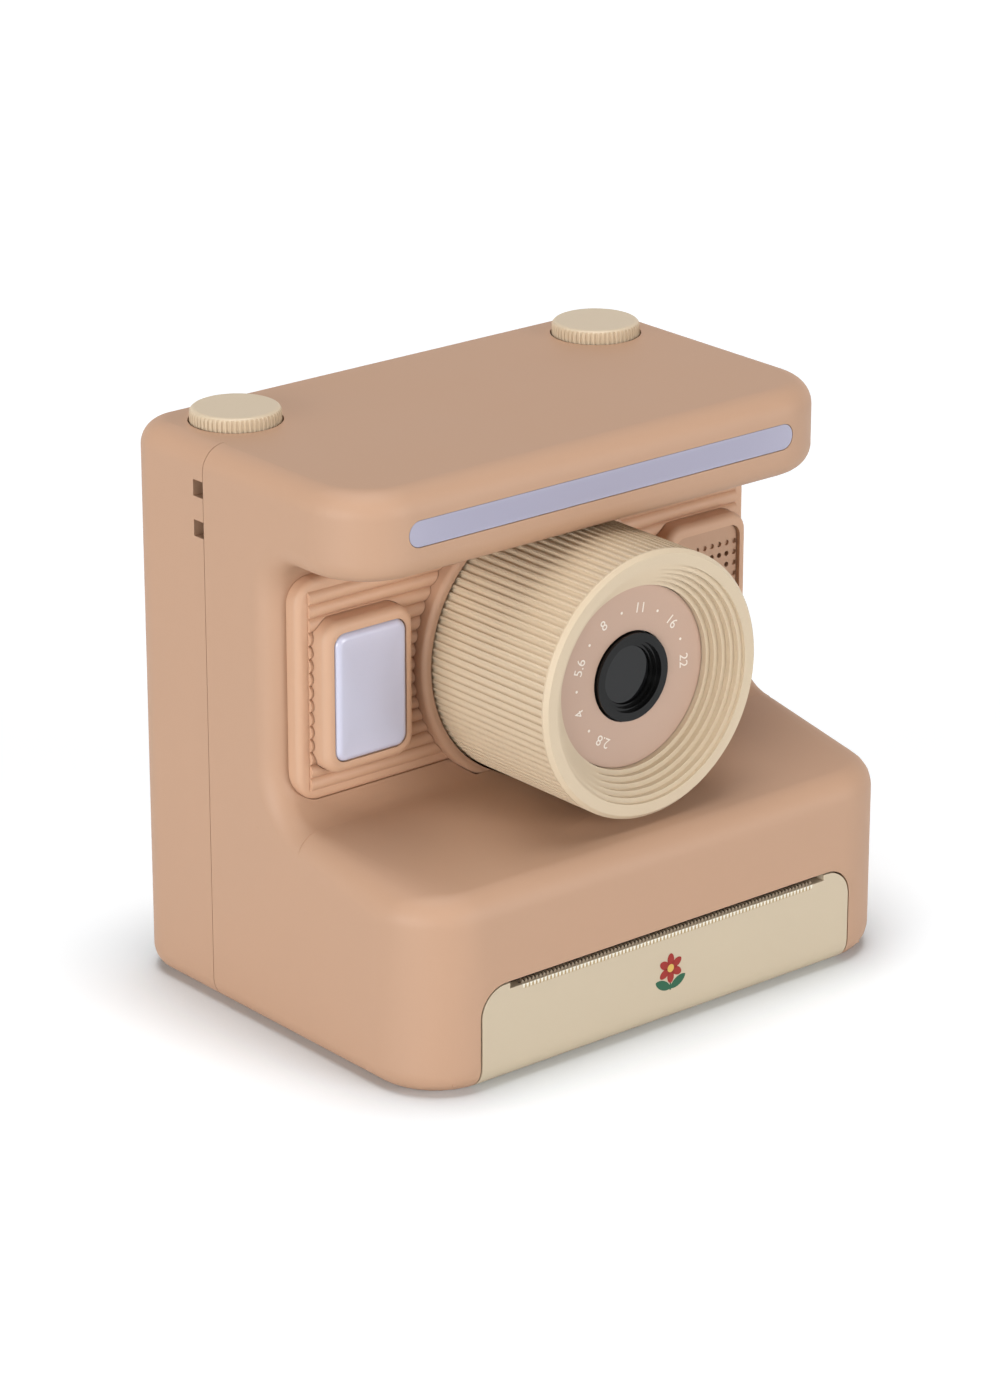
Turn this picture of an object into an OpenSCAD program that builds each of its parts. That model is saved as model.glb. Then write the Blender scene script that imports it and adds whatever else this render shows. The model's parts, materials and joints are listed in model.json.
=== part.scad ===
// Instant-print toy camera: a two-shell body with a hood, a recessed ribbed front, a turning lens,
// two push buttons, and a thermal printer behind a fold-down paper door.
// Millimetres, +Z up, the lens looks along -Y, the origin is under the middle of the base.
// Depths are counted from the rear face towards the front.

/* [Body] */
// Width across the camera
body_w = 96; // [92:1:108]
// Depth from the rear face to the front of the foot
body_d = 72; // [70:1:80]
// Height of the flat top
body_h = 89.5; // [88:0.5:96]
// Round of the rear upright corners
rear_corner_r = 7.4; // [5:0.1:9]
// Round of the front upright corners of hood and foot
front_corner_r = 11.5; // [9:0.1:13]
// Fillet round the top
top_fillet_r = 4; // [2.5:0.1:4.5]
// Fillet round the base, also the round that the paper door turns on
base_fillet_r = 4; // [3.6:0.1:4.4]
// Wall of both shells
wall = 2.2; // [1.8:0.1:2.4]
// Depth of the seam between the two shells
seam_depth = 20.6; // [20.4:0.1:23]

/* [Hood, recess and foot] */
// Depth of the hood's front face
hood_depth = 56.5; // [53:0.5:62]
// Height of the hood, underside to top
hood_h = 13.9; // [12:0.1:14.2]
// Depth of the recess wall under the hood
recess_depth = 35.8; // [35:0.1:37]
// Fillet along the edges of the recess
recess_fillet_r = 3.6; // [2.5:0.1:4]
// Hollow round between the hood's underside and the recess wall
hood_hollow_r = 5; // [3:0.1:7]
// Hollow round between the recess wall and the foot's top
foot_hollow_r = 8; // [5:0.1:10]
// Height at which the foot's front face starts to round over
foot_front_z = 27; // [26:0.1:28.5]
// Round between the foot's front face and its top
foot_fillet_r = 4.5; // [3:0.1:5]
// Fall of the foot's top towards the front, in degrees
foot_slope = 7.2; // [5:0.1:9]

/* [Front panel] */
// Width of the ribbed panel
panel_w = 89; // [86:0.5:90]
// Height of the ribbed panel
panel_h = 35; // [32:0.5:36]
// Height of the panel's middle
panel_z = 54.7; // [54:0.1:56]
// Thickness of the panel without its ribs
panel_t = 2.6; // [2:0.1:3]
// Corner round of the panel
panel_corner_r = 4; // [2:0.1:6]
// Spacing of the ribs
rib_pitch = 2.1; // [1.8:0.1:2.6]
// Radius of a rib's round back
rib_r = 1.15; // [1.1:0.05:1.5]
// Height of a rib above the panel
rib_rise = 0.7; // [0.2:0.05:0.7]
// Plain border round the ribs
panel_border = 2; // [2:0.1:4]
// Round of the panel's front edge
panel_edge_r = 1; // [0.6:0.1:1.4]

/* [Lens] */
// Height of the lens axis
lens_z = 54; // [53.6:0.1:54.4]
// Radius of the lens barrel
barrel_r = 21; // [20:0.1:21.3]
// Depth of the barrel's front rim
barrel_depth = 67.2; // [64:0.1:70]
// Wall of the lens barrel
barrel_wall = 2.7; // [2.2:0.1:3]
// Number of ribs round the barrel
barrel_ribs = 104; // [60:1:110]
// Radius of the groove between two ribs
barrel_groove_r = 0.45; // [0.3:0.01:0.5]
// Sink of the face plate below the rim
face_sink = 5.1; // [3.5:0.1:5.5]
// Radius of the face plate
face_r = 14.3; // [13:0.1:15]
// Number of steps from the rim down to the face plate
face_steps = 5; // [3:1:7]
// Radius of the collar round the barrel's foot
collar_r = 22.8; // [22.3:0.1:22.8]
// Height of the collar above the panel
collar_t = 2.7; // [2:0.1:3]
// Radius of the black bezel
bezel_r = 6.9; // [6.6:0.01:7.6]
// Radius of the lens glass
glass_r = 4.5; // [4:0.1:5]

/* [Flash and speaker] */
// Distance of each window from the middle
window_x = 33.6; // [33.2:0.1:34]
// Width of a window
window_w = 13.6; // [12:0.1:14]
// Height of a window
window_h = 20.4; // [19:0.1:21]
// Width of the bezel round a window
bump_w = 16.8; // [16.4:0.1:17.2]
// Height of the bezel round a window
bump_h = 24; // [23:0.1:25]
// Height of the bezel above the panel
bump_t = 3.6; // [3:0.1:5]
// Corner round of the bezel
bump_corner_r = 3.2; // [2:0.1:4]
// Round of the bezel's front edge
bump_edge_r = 1.3; // [0.6:0.1:1.3]
// Columns of holes in the speaker grille
grille_columns = 9; // [5:2:9]
// Rows of holes in the speaker grille
grille_rows = 9; // [5:2:11]
// Spacing of the columns
grille_pitch_x = 1.55; // [1.4:0.05:1.6]
// Spacing of the rows
grille_pitch_z = 1.8; // [1.4:0.05:1.9]
// Radius of a grille hole
grille_hole_r = 0.43; // [0.3:0.01:0.5]

/* [Light strip] */
// Width of the light strip
strip_w = 75.2; // [60:0.1:78]
// Height of the light strip
strip_h = 4; // [3:0.1:4.5]
// Middle of the strip below the flat top
strip_drop = 6.7; // [6.4:0.1:7]

/* [Top buttons] */
// Distance of each button's axis from the side
button_inset = 12.3; // [11.5:0.1:13]
// Depth of the buttons' axes
button_depth = 12.5; // [11.5:0.1:12.6]
// Radius of a button
button_r = 7; // [6:0.1:7.1]
// Height of a button above the top
button_proud = 2.1; // [1.8:0.1:3]
// Travel of a button
button_travel = 1; // [0.6:0.1:1.2]
// Number of grip ribs round a button
button_ribs = 58; // [30:1:60]

/* [Paper door] */
// Width of the paper door
door_w = 73.9; // [73:0.1:75]
// Height of the door's top edge
door_top_z = 16.25; // [16:0.05:17]
// Thickness of the door
door_t = 1.8; // [1.5:0.1:2]
// Round of the door's top corners
door_corner_r = 4.5; // [3:0.1:5]
// Width of the paper slot
slot_w = 63.4; // [61:0.1:64]
// Depth that the slot is cut into the door's top edge
slot_drop = 0.9; // [0.7:0.05:1.1]
// Gap round the door
door_gap = 0.3; // [0.2:0.05:0.4]
// Radius of the hinge pins
hinge_pin_r = 1; // [0.8:0.05:1.2]

/* [Printer] */
// Width of the paper
paper_w = 57; // [55:0.5:57.5]
// Radius of a full paper roll
roll_r = 12; // [10:0.5:12]
// Radius of the core of the roll
roll_core_r = 6; // [5:0.1:7]
// Radius of the rubber platen
platen_r = 3.35; // [3:0.05:3.4]
// Radius of the platen's shaft
platen_shaft_r = 1.5; // [1.2:0.05:1.7]
// Gear module of the drive
gear_module = 0.4; // [0.36:0.01:0.42]
// Teeth on the platen gear
platen_teeth = 16; // [15:1:16]
// Teeth on the idler gear
idler_teeth = 26; // [24:1:26]
// Teeth on the motor pinion
pinion_teeth = 12; // [11:1:13]
// Face width of the gears
gear_w = 2.4; // [2:0.1:2.6]
// Radius of the stepper motor
motor_r = 7.5; // [6.5:0.1:7.5]

/* [Rear side] */
// Distance of the screen's middle from the camera's middle
screen_x = 9; // [8.5:0.1:10]
// Height of the screen's middle
screen_z = 55; // [54.5:0.1:55.5]
// Width of the screen window
screen_w = 46; // [42:0.5:47]
// Height of the screen window
screen_h = 34.5; // [32:0.5:35]
// Distance of the keys' middle from the camera's middle
keys_x = 29.5; // [29.2:0.1:29.8]
// Spacing of the keys from the middle key
key_spacing = 7.7; // [7.6:0.1:7.9]
// Radius of a key
key_r = 3.2; // [2.6:0.1:3.3]
// Travel of a key
key_travel = 0.5; // [0.3:0.05:0.5]

/* [Fits] */
// Gap round a button, a key or a light window
push_gap = 0.26; // [0.2:0.01:0.3]
// Gap between pieces that are set into each other
set_gap = 0.1; // [0.05:0.01:0.15]
// Radial gap of a turning shaft or sleeve
run_gap = 0.05; // [0.03:0.01:0.08]

/* [Hidden] */

$fn = 64;
// Corner count of the round pieces that the foot is stretched over
hull_fn = 32;
// Drop of that foot below the hollow round that runs out on it
hull_slack = 0.02;
// What its edge rounds have more than the recess fillet
hull_round = 0.2;
// Overrun of every cut past the face that it opens
over = 0.5;

// Body
half_w = body_w / 2;
inner_w = half_w - wall;
hood_z = body_h - hood_h;
// Groove along the seam
seam_gap = 0.12;
seam_sink = 0.3;
foot_fillet_depth = body_d - foot_fillet_r;
// Strap anchor: two holes either side of a bar in the side wall
strap_hole_d = 2.45;
strap_hole_h = 2.6;
strap_bar_h = 3.7;
strap_bar_drop = 9.85;
// Case screws
screw_r = 1;
screw_head_r = 2.1;
screw_head_t = 1.6;
screw_len = 14;
screw_seat_depth = 10;
screw_floor_t = 2;
screw_post_r = 3.2;
screw_side_inset = 7;
screw_low_z = 5.2;
screw_high_drop = 21.5;
screw_high_z = body_h - screw_high_drop;

// Lens
panel_depth = recess_depth + panel_t;
collar_depth = panel_depth + collar_t;
collar_edge_r = 0.9;
// Start of the barrel inside the collar, as a share of the collar's height
barrel_start_share = 0.3;
barrel_back_depth = panel_depth + barrel_start_share * collar_t;
face_depth = barrel_depth - face_sink;
face_t = 1;
face_seat_w = 1.7;
rim_w = 2.4;
rim_edge = 0.6;
groove_end = 0.3;
barrel_web_t = 2;
barrel_flange_t = 2;
tube_r = 12;
tube_bore_r = 7.2;
tube_neck_r = 9;
tube_eye_r = 4.4;
tube_shelf_t = 8;
bezel_proud = 0.7;
bezel_flange_r = 10.5;
bezel_flange_t = 0.8;
bezel_lip = 0.8;
bezel_steps = 3;
glass_t = 0.7;
glass_seat_w = 0.5;
module_side = 9;
module_t = 3;
module_lens_r = 3.5;
module_lens_t = 5;
// Running room of the barrel in the shells and along its axis
barrel_room = 0.35;
end_play = 0.1;
web_front_depth = face_depth - face_t - bezel_flange_t - 2 * end_play;
web_back_depth = web_front_depth - barrel_web_t;
bezel_back_depth = web_front_depth + end_play;

// Flash, speaker and light strip
window_corner_r = 2;
diffuser_rise = 0.5;
diffuser_edge_r = 1.1;
bump_depth = panel_depth + bump_t;
window_ledge = 1;
grille_sink = 0.7;
grille_t = 1.2;
grille_dimple = 0.4;
flash_board_t = 1.2;
flash_board_h = 20;
flash_led_side = 5;
flash_led_t = 1.6;
speaker_r = 9;
speaker_t = 5;
speaker_magnet_r = 5.5;
speaker_magnet_t = 2.2;
strip_z = body_h - strip_drop;
strip_flange = 1.2;
strip_flange_in = 1.4;
strip_flange_t = 1.5;
led_side = 2;
led_t = 0.9;
led_pitch = 9;
light_board_t = 1.2;

// Top buttons
button_x = half_w - button_inset;
button_groove_r = 0.3;
button_edge_r = 0.9;
button_flange = 1.6;
button_flange_t = 1.6;
button_flange_gap = 0.4;
button_stem_r = 2;
button_stem_h = 2.8;
switch_side = 6;
switch_h = 3.5;
switch_plunger_r = 1.7;
switch_plunger_h = 0.25;
switch_room = 0.15;
switch_board_side = 14;
switch_board_t = 1.2;
shelf_t = 2;
button_stem_z = body_h - wall - button_flange_gap - button_flange_t - button_stem_h;
plunger_z = button_stem_z - button_travel - switch_room;
switch_board_z = plunger_z - switch_plunger_h - switch_h - switch_board_t;
shelf_z = switch_board_z - shelf_t;
shelf_in = 9;
shelf_back = 5;

// Rear side
window_sink = 0.3;
window_t = 1.2;
screen_ledge = 2;
screen_border = 2;
lcd_border = 0.8;
lcd_t = 2.5;
board_t = 1.6;
board_gap = 0.9;
board_side_gap = 6;
board_half_w = half_w - board_side_gap;
board_low_z = 24;
board_top_drop = 16.5;
board_high_z = body_h - board_top_drop;
board_depth = wall + lcd_t + board_gap;
board_front = board_depth + board_t;
standoff_r = 2;
standoff_inset = 6;
standoff_side_x = board_half_w - standoff_inset;
standoff_low_z = 28;
standoff_high_x = 24;
standoff_top_inset = 2.5;
standoff_high_z = board_high_z - standoff_top_inset;
notch_gap = 0.4;
battery_w = 50;
battery_h = 34;
battery_t = 6;
battery_z = 47;
battery_edge_r = 2.4;
usb_z = 32;
usb_w = 9;
usb_t = 3.2;
usb_len = 7.4;
card_z = 50;
card_w = 12;
card_t = 1.8;
card_len = 14;
dish_r = 12.6;
dish_sink = 0.8;
key_rise = 0.7;
key_flange = 0.5;
key_flange_t = 0.8;
key_flange_gap = 0.3;
key_switch_side = 4.4;
key_switch_room = 0.1;
key_dome = 0.2;
key_top_depth = dish_sink - key_rise;
key_flange_depth = wall + key_flange_gap;
key_back_depth = key_flange_depth + key_flange_t;
key_switch_depth = key_back_depth + key_travel + key_switch_room;

// Paper door
hinge_depth = body_d - base_fillet_r;
hinge_z = base_fillet_r;
hinge_wall = 1.8;
knuckle_w = 6;
knuckle_step = 0.8;
hinge_gap = 0.35;
hinge_ear_w = 4;
hinge_ear_wall = 1.4;
pin_in_door = 4;
pin_fit = 0.02;
door_inner_depth = body_d - door_t;
tear_w = 59;
tear_t = 0.6;
tear_h = 0.15;
tear_tooth_h = 0.45;
tear_pitch = 0.7;
tear_set_back = 0.3;

// Printer
paper_t = 0.15;
paper_gap = 0.25;
paper_steps = 10;
paper_tuck = 3;
platen_overhang = 0.3;
// Height of the paper in the slot, as a share of the slot's drop
paper_rise_share = 0.65;
platen_door_gap = 0.35;
platen_depth = door_inner_depth - platen_door_gap - platen_r;
platen_z = door_top_z - slot_drop - platen_r + paper_rise_share * slot_drop - paper_gap;
platen_half_w = paper_w / 2 + platen_overhang;
bearing_gap = 0.8;
bearing_w = 1.8;
bearing_wall = 1.2;
shaft_fit = 0.02;
gear_gap = 0.4;
gear_x = platen_half_w + bearing_gap + bearing_w + gear_gap;
gear_end_x = gear_x + gear_w;
// Tooth outline: tooth width as a share of the pitch, and heights as shares of the module
tooth_width_share = 0.42;
addendum_share = 0.85;
dedendum_share = 1.2;
flank_angle = 20;
idler_angle = -12;
pinion_angle = 60;
idler_axle_r = 1.2;
motor_shaft_r = 0.75;
motor_len = 8.8;
motor_boss_r = 3;
motor_bore = 4;
plate_t = 1;
plate_arm_w = 6.4;
plate_rim = 1;
post_r = 1.6;
post_turn = 90;
idler_reach = gear_module * (platen_teeth + idler_teeth) / 2;
pinion_reach = gear_module * (idler_teeth + pinion_teeth) / 2;
idler_depth = platen_depth - idler_reach * cos(idler_angle);
idler_z = platen_z + idler_reach * sin(idler_angle);
pinion_depth = idler_depth - pinion_reach * cos(pinion_angle);
pinion_z = idler_z + pinion_reach * sin(pinion_angle);
plate_x = gear_end_x + gear_gap;
motor_x = plate_x + plate_t;
// Paper roll in its cradle
roll_platen_gap = 3.55;
roll_reach = platen_r + roll_r + roll_platen_gap;
roll_floor = 1.5;
roll_room = 0.3;
roll_end_gap = 0.5;
roll_bore_r = 4.8;
roll_z = wall + roll_floor + roll_room + roll_r;
roll_depth = platen_depth - sqrt(pow(roll_reach, 2) - pow(roll_z - platen_z, 2));
frame_x = paper_w / 2 + roll_end_gap;
frame_wall = 1.6;
frame_corner_r = 3;
cradle_back = 10;
cradle_front = 6.5;
cradle_rim_drop = 5;
frame_top = 9;
frame_back = 10;
frame_front_gap = 4.6;
arm_low = 4.6;
arm_front = 0.4;
// Thermal head against the platen
head_angle = 60;
head_gap = 0.1;
head_t = 1;
head_back = 3;
head_front = 5;
head_end_gap = 0.1;
bracket_t = 1.2;

// Y of a point at a depth from the rear face
function at(depth) = body_d / 2 - depth;

// Height of the foot's sloping top at a depth
function foot_top(depth) = foot_front_z + foot_fillet_r / cos(foot_slope)
    + (foot_fillet_depth - depth) * tan(foot_slope);

// Angle that brings the gear at the end of a line of centres into mesh with the gear at its start
function mesh_turn(line_angle, teeth, other_turn, other_teeth) =
    let (f = (line_angle - other_turn) * other_teeth / 360)
    line_angle + 180 - (0.5 - f) * 360 / teeth;

idler_turn = mesh_turn(idler_angle, idler_teeth, idler_angle, platen_teeth);
pinion_turn = mesh_turn(pinion_angle, pinion_teeth, idler_turn, idler_teeth);

// Runs an upright outline (x across, y up) forward between two depths
module forward(d0, d1) {
    translate([0, at(d0), 0]) rotate([90, 0, 0]) linear_extrude(height = d1 - d0) children();
}

// Runs a side outline (x is Y, y is Z) across the camera
module across(x0, x1) {
    translate([x0, 0, 0]) rotate([90, 0, 90]) linear_extrude(height = x1 - x0) children();
}

// Turns an outline of radius and depth about an axis that runs from rear to front
module turned(x, z) {
    translate([x, at(0), z]) rotate([90, 0, 0]) rotate_extrude() children();
}

// Box between two places across, two depths and two heights
module block(x0, x1, d0, d1, z0, z1) {
    translate([x0, at(d1), z0]) cube([x1 - x0, d1 - d0, z1 - z0]);
}

module both_sides() {
    children();
    mirror([1, 0, 0]) children();
}

module rounded_rect(w, h, r) {
    square([w - 2 * r, h], center = true);
    square([w, h - 2 * r], center = true);
    for (x = [-1, 1], y = [-1, 1])
        translate([x * (w / 2 - r), y * (h / 2 - r)]) circle(r);
}

module quarter_round(r) {
    intersection() {
        circle(r);
        square(r);
    }
}

// Half section of a slab that reaches out from its middle, with filleted upper and lower edges
module edge_section(reach, z0, z1, f_top, f_base) {
    translate([0, z0 + f_base]) square([reach, z1 - z0 - f_top - f_base]);
    if (f_top > 0) {
        translate([0, z1 - f_top]) square([reach - f_top, f_top]);
        translate([reach - f_top, z1 - f_top]) quarter_round(f_top);
    }
    if (f_base > 0) {
        translate([0, z0]) square([reach - f_base, f_base]);
        translate([reach - f_base, z0 + f_base]) mirror([0, 1]) quarter_round(f_base);
    }
}

// Slab with round upright corners and filleted upper and lower edges, between y0 and y1.
// A corner radius of zero leaves that end cut flat.
module soft_slab(half, y0, y1, r0, r1, z0, z1, f_top, f_base) {
    translate([0, y1 - r1, 0]) rotate([90, 0, 0]) linear_extrude(height = y1 - r1 - y0 - r0) {
        edge_section(half, z0, z1, f_top, f_base);
        mirror([1, 0]) edge_section(half, z0, z1, f_top, f_base);
    }
    if (r1 > 0) {
        across(r1 - half, half - r1)
            translate([y1 - r1, 0]) edge_section(r1, z0, z1, f_top, f_base);
        for (side = [0, 1])
            translate([(1 - 2 * side) * (half - r1), y1 - r1, 0]) rotate([0, 0, 90 * side])
                rotate_extrude(angle = 90) edge_section(r1, z0, z1, f_top, f_base);
    }
    if (r0 > 0) {
        across(r0 - half, half - r0)
            translate([y0 + r0, 0]) mirror([1, 0]) edge_section(r0, z0, z1, f_top, f_base);
        for (side = [0, 1])
            translate([(2 * side - 1) * (half - r0), y0 + r0, 0]) rotate([0, 0, 180 + 90 * side])
                rotate_extrude(angle = 90) edge_section(r0, z0, z1, f_top, f_base);
    }
}

// Plan outline between two depths, with round rear or front corners
module plan(half, d0, d1, r_rear, r_front) {
    translate([-half, at(d1 - r_front)]) square([2 * half, d1 - r_front - d0 - r_rear]);
    if (r_front > 0) {
        translate([r_front - half, at(d1)]) square([2 * (half - r_front), r_front]);
        for (s = [-1, 1]) translate([s * (half - r_front), at(d1 - r_front)]) circle(r_front);
    }
    if (r_rear > 0) {
        translate([r_rear - half, at(d0 + r_rear)]) square([2 * (half - r_rear), r_rear]);
        for (s = [-1, 1]) translate([s * (half - r_rear), at(d0 + r_rear)]) circle(r_rear);
    }
}

module torus(ring_r, tube_r) {
    rotate_extrude($fn = hull_fn) translate([ring_r, 0]) circle(tube_r, $fn = hull_fn);
}

// Foot with its sloping top, stretched over the rounds of its corners and edges
module foot_solid() {
    // The side edges keep the recess fillet as far as the hollow round reaches
    side_r = recess_fillet_r + hull_round;
    side_start = seam_depth + wall;
    side_run = recess_depth + foot_hollow_r - side_start;
    side_z = foot_top(side_start) - side_r / cos(foot_slope) - hull_slack;
    hull() both_sides() {
        translate([half_w - front_corner_r, at(body_d - front_corner_r), 0]) {
            translate([0, 0, foot_front_z]) torus(front_corner_r - foot_fillet_r, foot_fillet_r);
            translate([0, 0, base_fillet_r]) torus(front_corner_r - base_fillet_r, base_fillet_r);
        }
        translate([half_w - recess_fillet_r, at(seam_depth), foot_top(seam_depth + wall) - recess_fillet_r])
            rotate([90, 0, 0]) cylinder(r = recess_fillet_r, h = wall, $fn = hull_fn);
        translate([half_w - side_r, at(side_start), side_z])
            rotate([90 + foot_slope, 0, 0])
                cylinder(r = side_r, h = side_run / cos(foot_slope), $fn = hull_fn);
        translate([half_w - base_fillet_r, at(seam_depth), base_fillet_r])
            rotate([90, 0, 0]) cylinder(r = base_fillet_r, h = wall, $fn = hull_fn);
    }
}

// Hollow round of radius r in a corner of the recess, with the recess fillet at both ends,
// swept from the recess wall upwards
module hollow_round(r, sweep) {
    fillet = recess_fillet_r;
    rotate([90, 0, 90]) rotate_extrude(angle = sweep) {
        translate([r, fillet - half_w]) square([2 * fillet, 2 * (half_w - fillet)]);
        translate([r + fillet, -half_w]) square([fillet, body_w]);
        for (s = [-1, 1]) translate([r + fillet, s * (half_w - fillet)]) circle(fillet);
    }
}

module front_outer() {
    soft_slab(half_w, at(hood_depth), at(seam_depth), front_corner_r, 0, hood_z, body_h, top_fillet_r,
        recess_fillet_r);
    foot_arc_depth = recess_depth + foot_hollow_r;
    foot_arc_z = foot_top(foot_arc_depth) + foot_hollow_r / cos(foot_slope);
    hood_arc_z = hood_z - hood_hollow_r;
    translate([0, 0, foot_arc_z]) linear_extrude(height = hood_arc_z - foot_arc_z)
        plan(half_w, seam_depth, recess_depth, 0, recess_fillet_r);
    wall_back = recess_depth - recess_fillet_r;
    block(-half_w, half_w, seam_depth, wall_back, foot_front_z - foot_fillet_r, foot_arc_z);
    block(-half_w, half_w, seam_depth, wall_back, hood_arc_z, hood_z + hood_h / 2);
    translate([0, at(recess_depth + hood_hollow_r), hood_arc_z]) hollow_round(hood_hollow_r, 90);
    translate([0, at(foot_arc_depth), foot_arc_z]) mirror([0, 0, 1])
        hollow_round(foot_hollow_r, 90 - foot_slope);
    foot_solid();
}

module front_cavity() {
    block(-inner_w, inner_w, seam_depth - over, recess_depth - wall, wall, body_h - wall);
    translate([0, 0, hood_z + wall]) linear_extrude(height = hood_h - 2 * wall)
        plan(inner_w, seam_depth, hood_depth - wall, 0, front_corner_r - wall);
    difference() {
        intersection() {
            back = recess_depth - 2 * wall;
            front = body_d - wall;
            drop = wall / cos(foot_slope);
            across(-inner_w, inner_w) polygon([[at(back), wall], [at(front), wall],
                [at(front), foot_top(front) - drop], [at(back), foot_top(back) - drop]]);
            linear_extrude(height = body_h) plan(inner_w, back, front, 0, front_corner_r - wall);
        }
        turned(0, lens_z) square([collar_r + set_gap + wall, body_d]);
    }
}

// Outline of the door's front, grown by a gap and run down past the base
module door_outline(grow) {
    half = door_w / 2 + grow;
    r = door_corner_r + grow;
    top = door_top_z + grow;
    translate([-half, -over]) square([2 * half, top - r + over]);
    translate([r - half, -over]) square([2 * (half - r), top + over]);
    for (s = [-1, 1]) translate([s * (half - r), top - r]) circle(r);
}

module door_opening() {
    half = door_w / 2 + door_gap;
    forward(door_inner_depth - wall, body_d + over) door_outline(door_gap);
    block(-half, half, hinge_depth, body_d + over, -over, hinge_z);
    across(-half, half) translate([at(hinge_depth), hinge_z]) circle(base_fillet_r + hinge_gap);
}

module screw_places() {
    for (s = [-1, 1], z = [screw_low_z, screw_high_z])
        translate([s * (half_w - screw_side_inset), 0, z]) children();
}

// Round bar or bore from one depth to another on the local axis
module rod(r, d0, d1) {
    translate([0, at(d0), 0]) rotate([90, 0, 0]) cylinder(r = r, h = d1 - d0);
}

// Round bar or bore across the camera at a depth and a height
module cross_rod(r, x0, x1, depth, z) {
    translate([x0, at(depth), z]) rotate([0, 90, 0]) cylinder(r = r, h = x1 - x0);
}

module rear_shell() {
    window_depth = window_sink + window_t;
    color([0.81, 0.66, 0.56]) difference() {
        union() {
            difference() {
                union() {
                    soft_slab(half_w, at(seam_depth - seam_gap), at(0), 0, rear_corner_r, 0, body_h,
                        top_fillet_r, base_fillet_r);
                    soft_slab(half_w - seam_sink, at(seam_depth), at(seam_depth - seam_gap), 0, 0, seam_sink,
                        body_h - seam_sink, top_fillet_r - seam_sink, base_fillet_r - seam_sink);
                }
                translate([0, 0, wall]) linear_extrude(height = body_h - 2 * wall)
                    plan(inner_w, wall, seam_depth + over, rear_corner_r - wall, 0);
            }
            screw_places() rod(screw_post_r, wall - over, seam_depth);
            both_sides() block(button_x - shelf_in, inner_w + over, shelf_back, button_depth + shelf_back,
                shelf_z, shelf_z + shelf_t);
            both_sides() block(button_x - shelf_in, half_w - rear_corner_r, wall - over, shelf_back + over,
                shelf_z, shelf_z + shelf_t);
            for (x = [-standoff_side_x, standoff_side_x])
                translate([x, 0, standoff_low_z]) rod(standoff_r, wall - over, board_depth);
            translate([-standoff_high_x, 0, standoff_high_z]) rod(standoff_r, wall - over, board_depth);
        }
        screw_places() {
            rod(screw_r + set_gap, 0, seam_depth + over);
            rod(screw_head_r + set_gap, -over, screw_seat_depth);
        }
        translate([screen_x, 0, screen_z]) {
            forward(-over, window_depth) rounded_rect(screen_w, screen_h, screen_ledge);
            forward(0, wall + over)
                rounded_rect(screen_w - 2 * screen_border, screen_h - 2 * screen_border, screen_ledge);
        }
        translate([-keys_x, 0, screen_z]) rod(dish_r, -over, dish_sink);
        for (place = key_places) translate(place) rod(key_r + push_gap, 0, wall + over);
        for (x = [-button_x, button_x]) translate([x, at(button_depth), body_h - wall - over])
            cylinder(r = button_r + push_gap, h = wall + 2 * over);
        both_sides() for (z = [0, strap_bar_h + strap_hole_h])
            block(inner_w - over, half_w + over, seam_depth - strap_hole_d, seam_depth + over,
                body_h - strap_bar_drop - strap_bar_h / 2 - strap_hole_h + z,
                body_h - strap_bar_drop - strap_bar_h / 2 + z);
        across(inner_w - over, half_w + over) {
            translate([at(board_front + usb_t / 2), usb_z])
                rounded_rect(usb_t + 2 * push_gap, usb_w + 2 * push_gap, usb_t / 2);
            translate([at(board_front + card_t / 2), card_z])
                square([card_t, card_w], center = true);
        }
    }
}

module front_shell() {
    strip_slot_h = strip_h + 2 * set_gap;
    ear_x = door_w / 2 + door_gap;
    post_end = screw_seat_depth + screw_floor_t + screw_len + screw_head_t;
    color([0.80, 0.63, 0.53]) difference() {
        union() {
            difference() {
                front_outer();
                front_cavity();
            }
            for (s = [-1, 1]) {
                translate([s * (half_w - screw_side_inset), 0, screw_low_z])
                    rod(screw_post_r, seam_depth, post_end);
                translate([s * (half_w - screw_side_inset), 0, screw_high_z])
                    rod(screw_post_r, seam_depth, recess_depth - wall + over);
            }
            both_sides() {
                cross_rod(hinge_pin_r + hinge_ear_wall, ear_x, ear_x + hinge_ear_w, hinge_depth, hinge_z);
                block(ear_x, ear_x + hinge_ear_w, hinge_depth - hinge_pin_r - hinge_ear_wall,
                    hinge_depth + hinge_pin_r + hinge_ear_wall, wall - over, hinge_z);
            }
        }
        screw_places() rod(screw_r + pin_fit, seam_depth - over, screw_seat_depth + screw_len + over);
        translate([0, 0, panel_z]) forward(recess_depth, body_d)
            rounded_rect(panel_w + set_gap, panel_h + set_gap, panel_corner_r + set_gap / 2);
        translate([0, 0, lens_z]) {
            rod(tube_bore_r, recess_depth - wall - over, recess_depth + over);
            rod(collar_r + set_gap, panel_depth, collar_depth + set_gap);
            rod(barrel_r + barrel_room, collar_depth, body_d + over);
        }
        for (s = [-1, 1]) translate([s * window_x, 0, lens_z])
            forward(recess_depth - wall - over, recess_depth + over)
                rounded_rect(window_w - 2 * window_ledge, window_h - 2 * window_ledge, window_corner_r);
        translate([0, 0, strip_z]) forward(hood_depth - wall - over, hood_depth + over)
            rounded_rect(strip_w + 2 * set_gap, strip_slot_h, strip_slot_h / 2 - set_gap / 2);
        door_opening();
        both_sides() cross_rod(hinge_pin_r + pin_fit, ear_x - over, ear_x + hinge_ear_w - hinge_pin_r,
            hinge_depth, hinge_z);
    }
}

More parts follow.
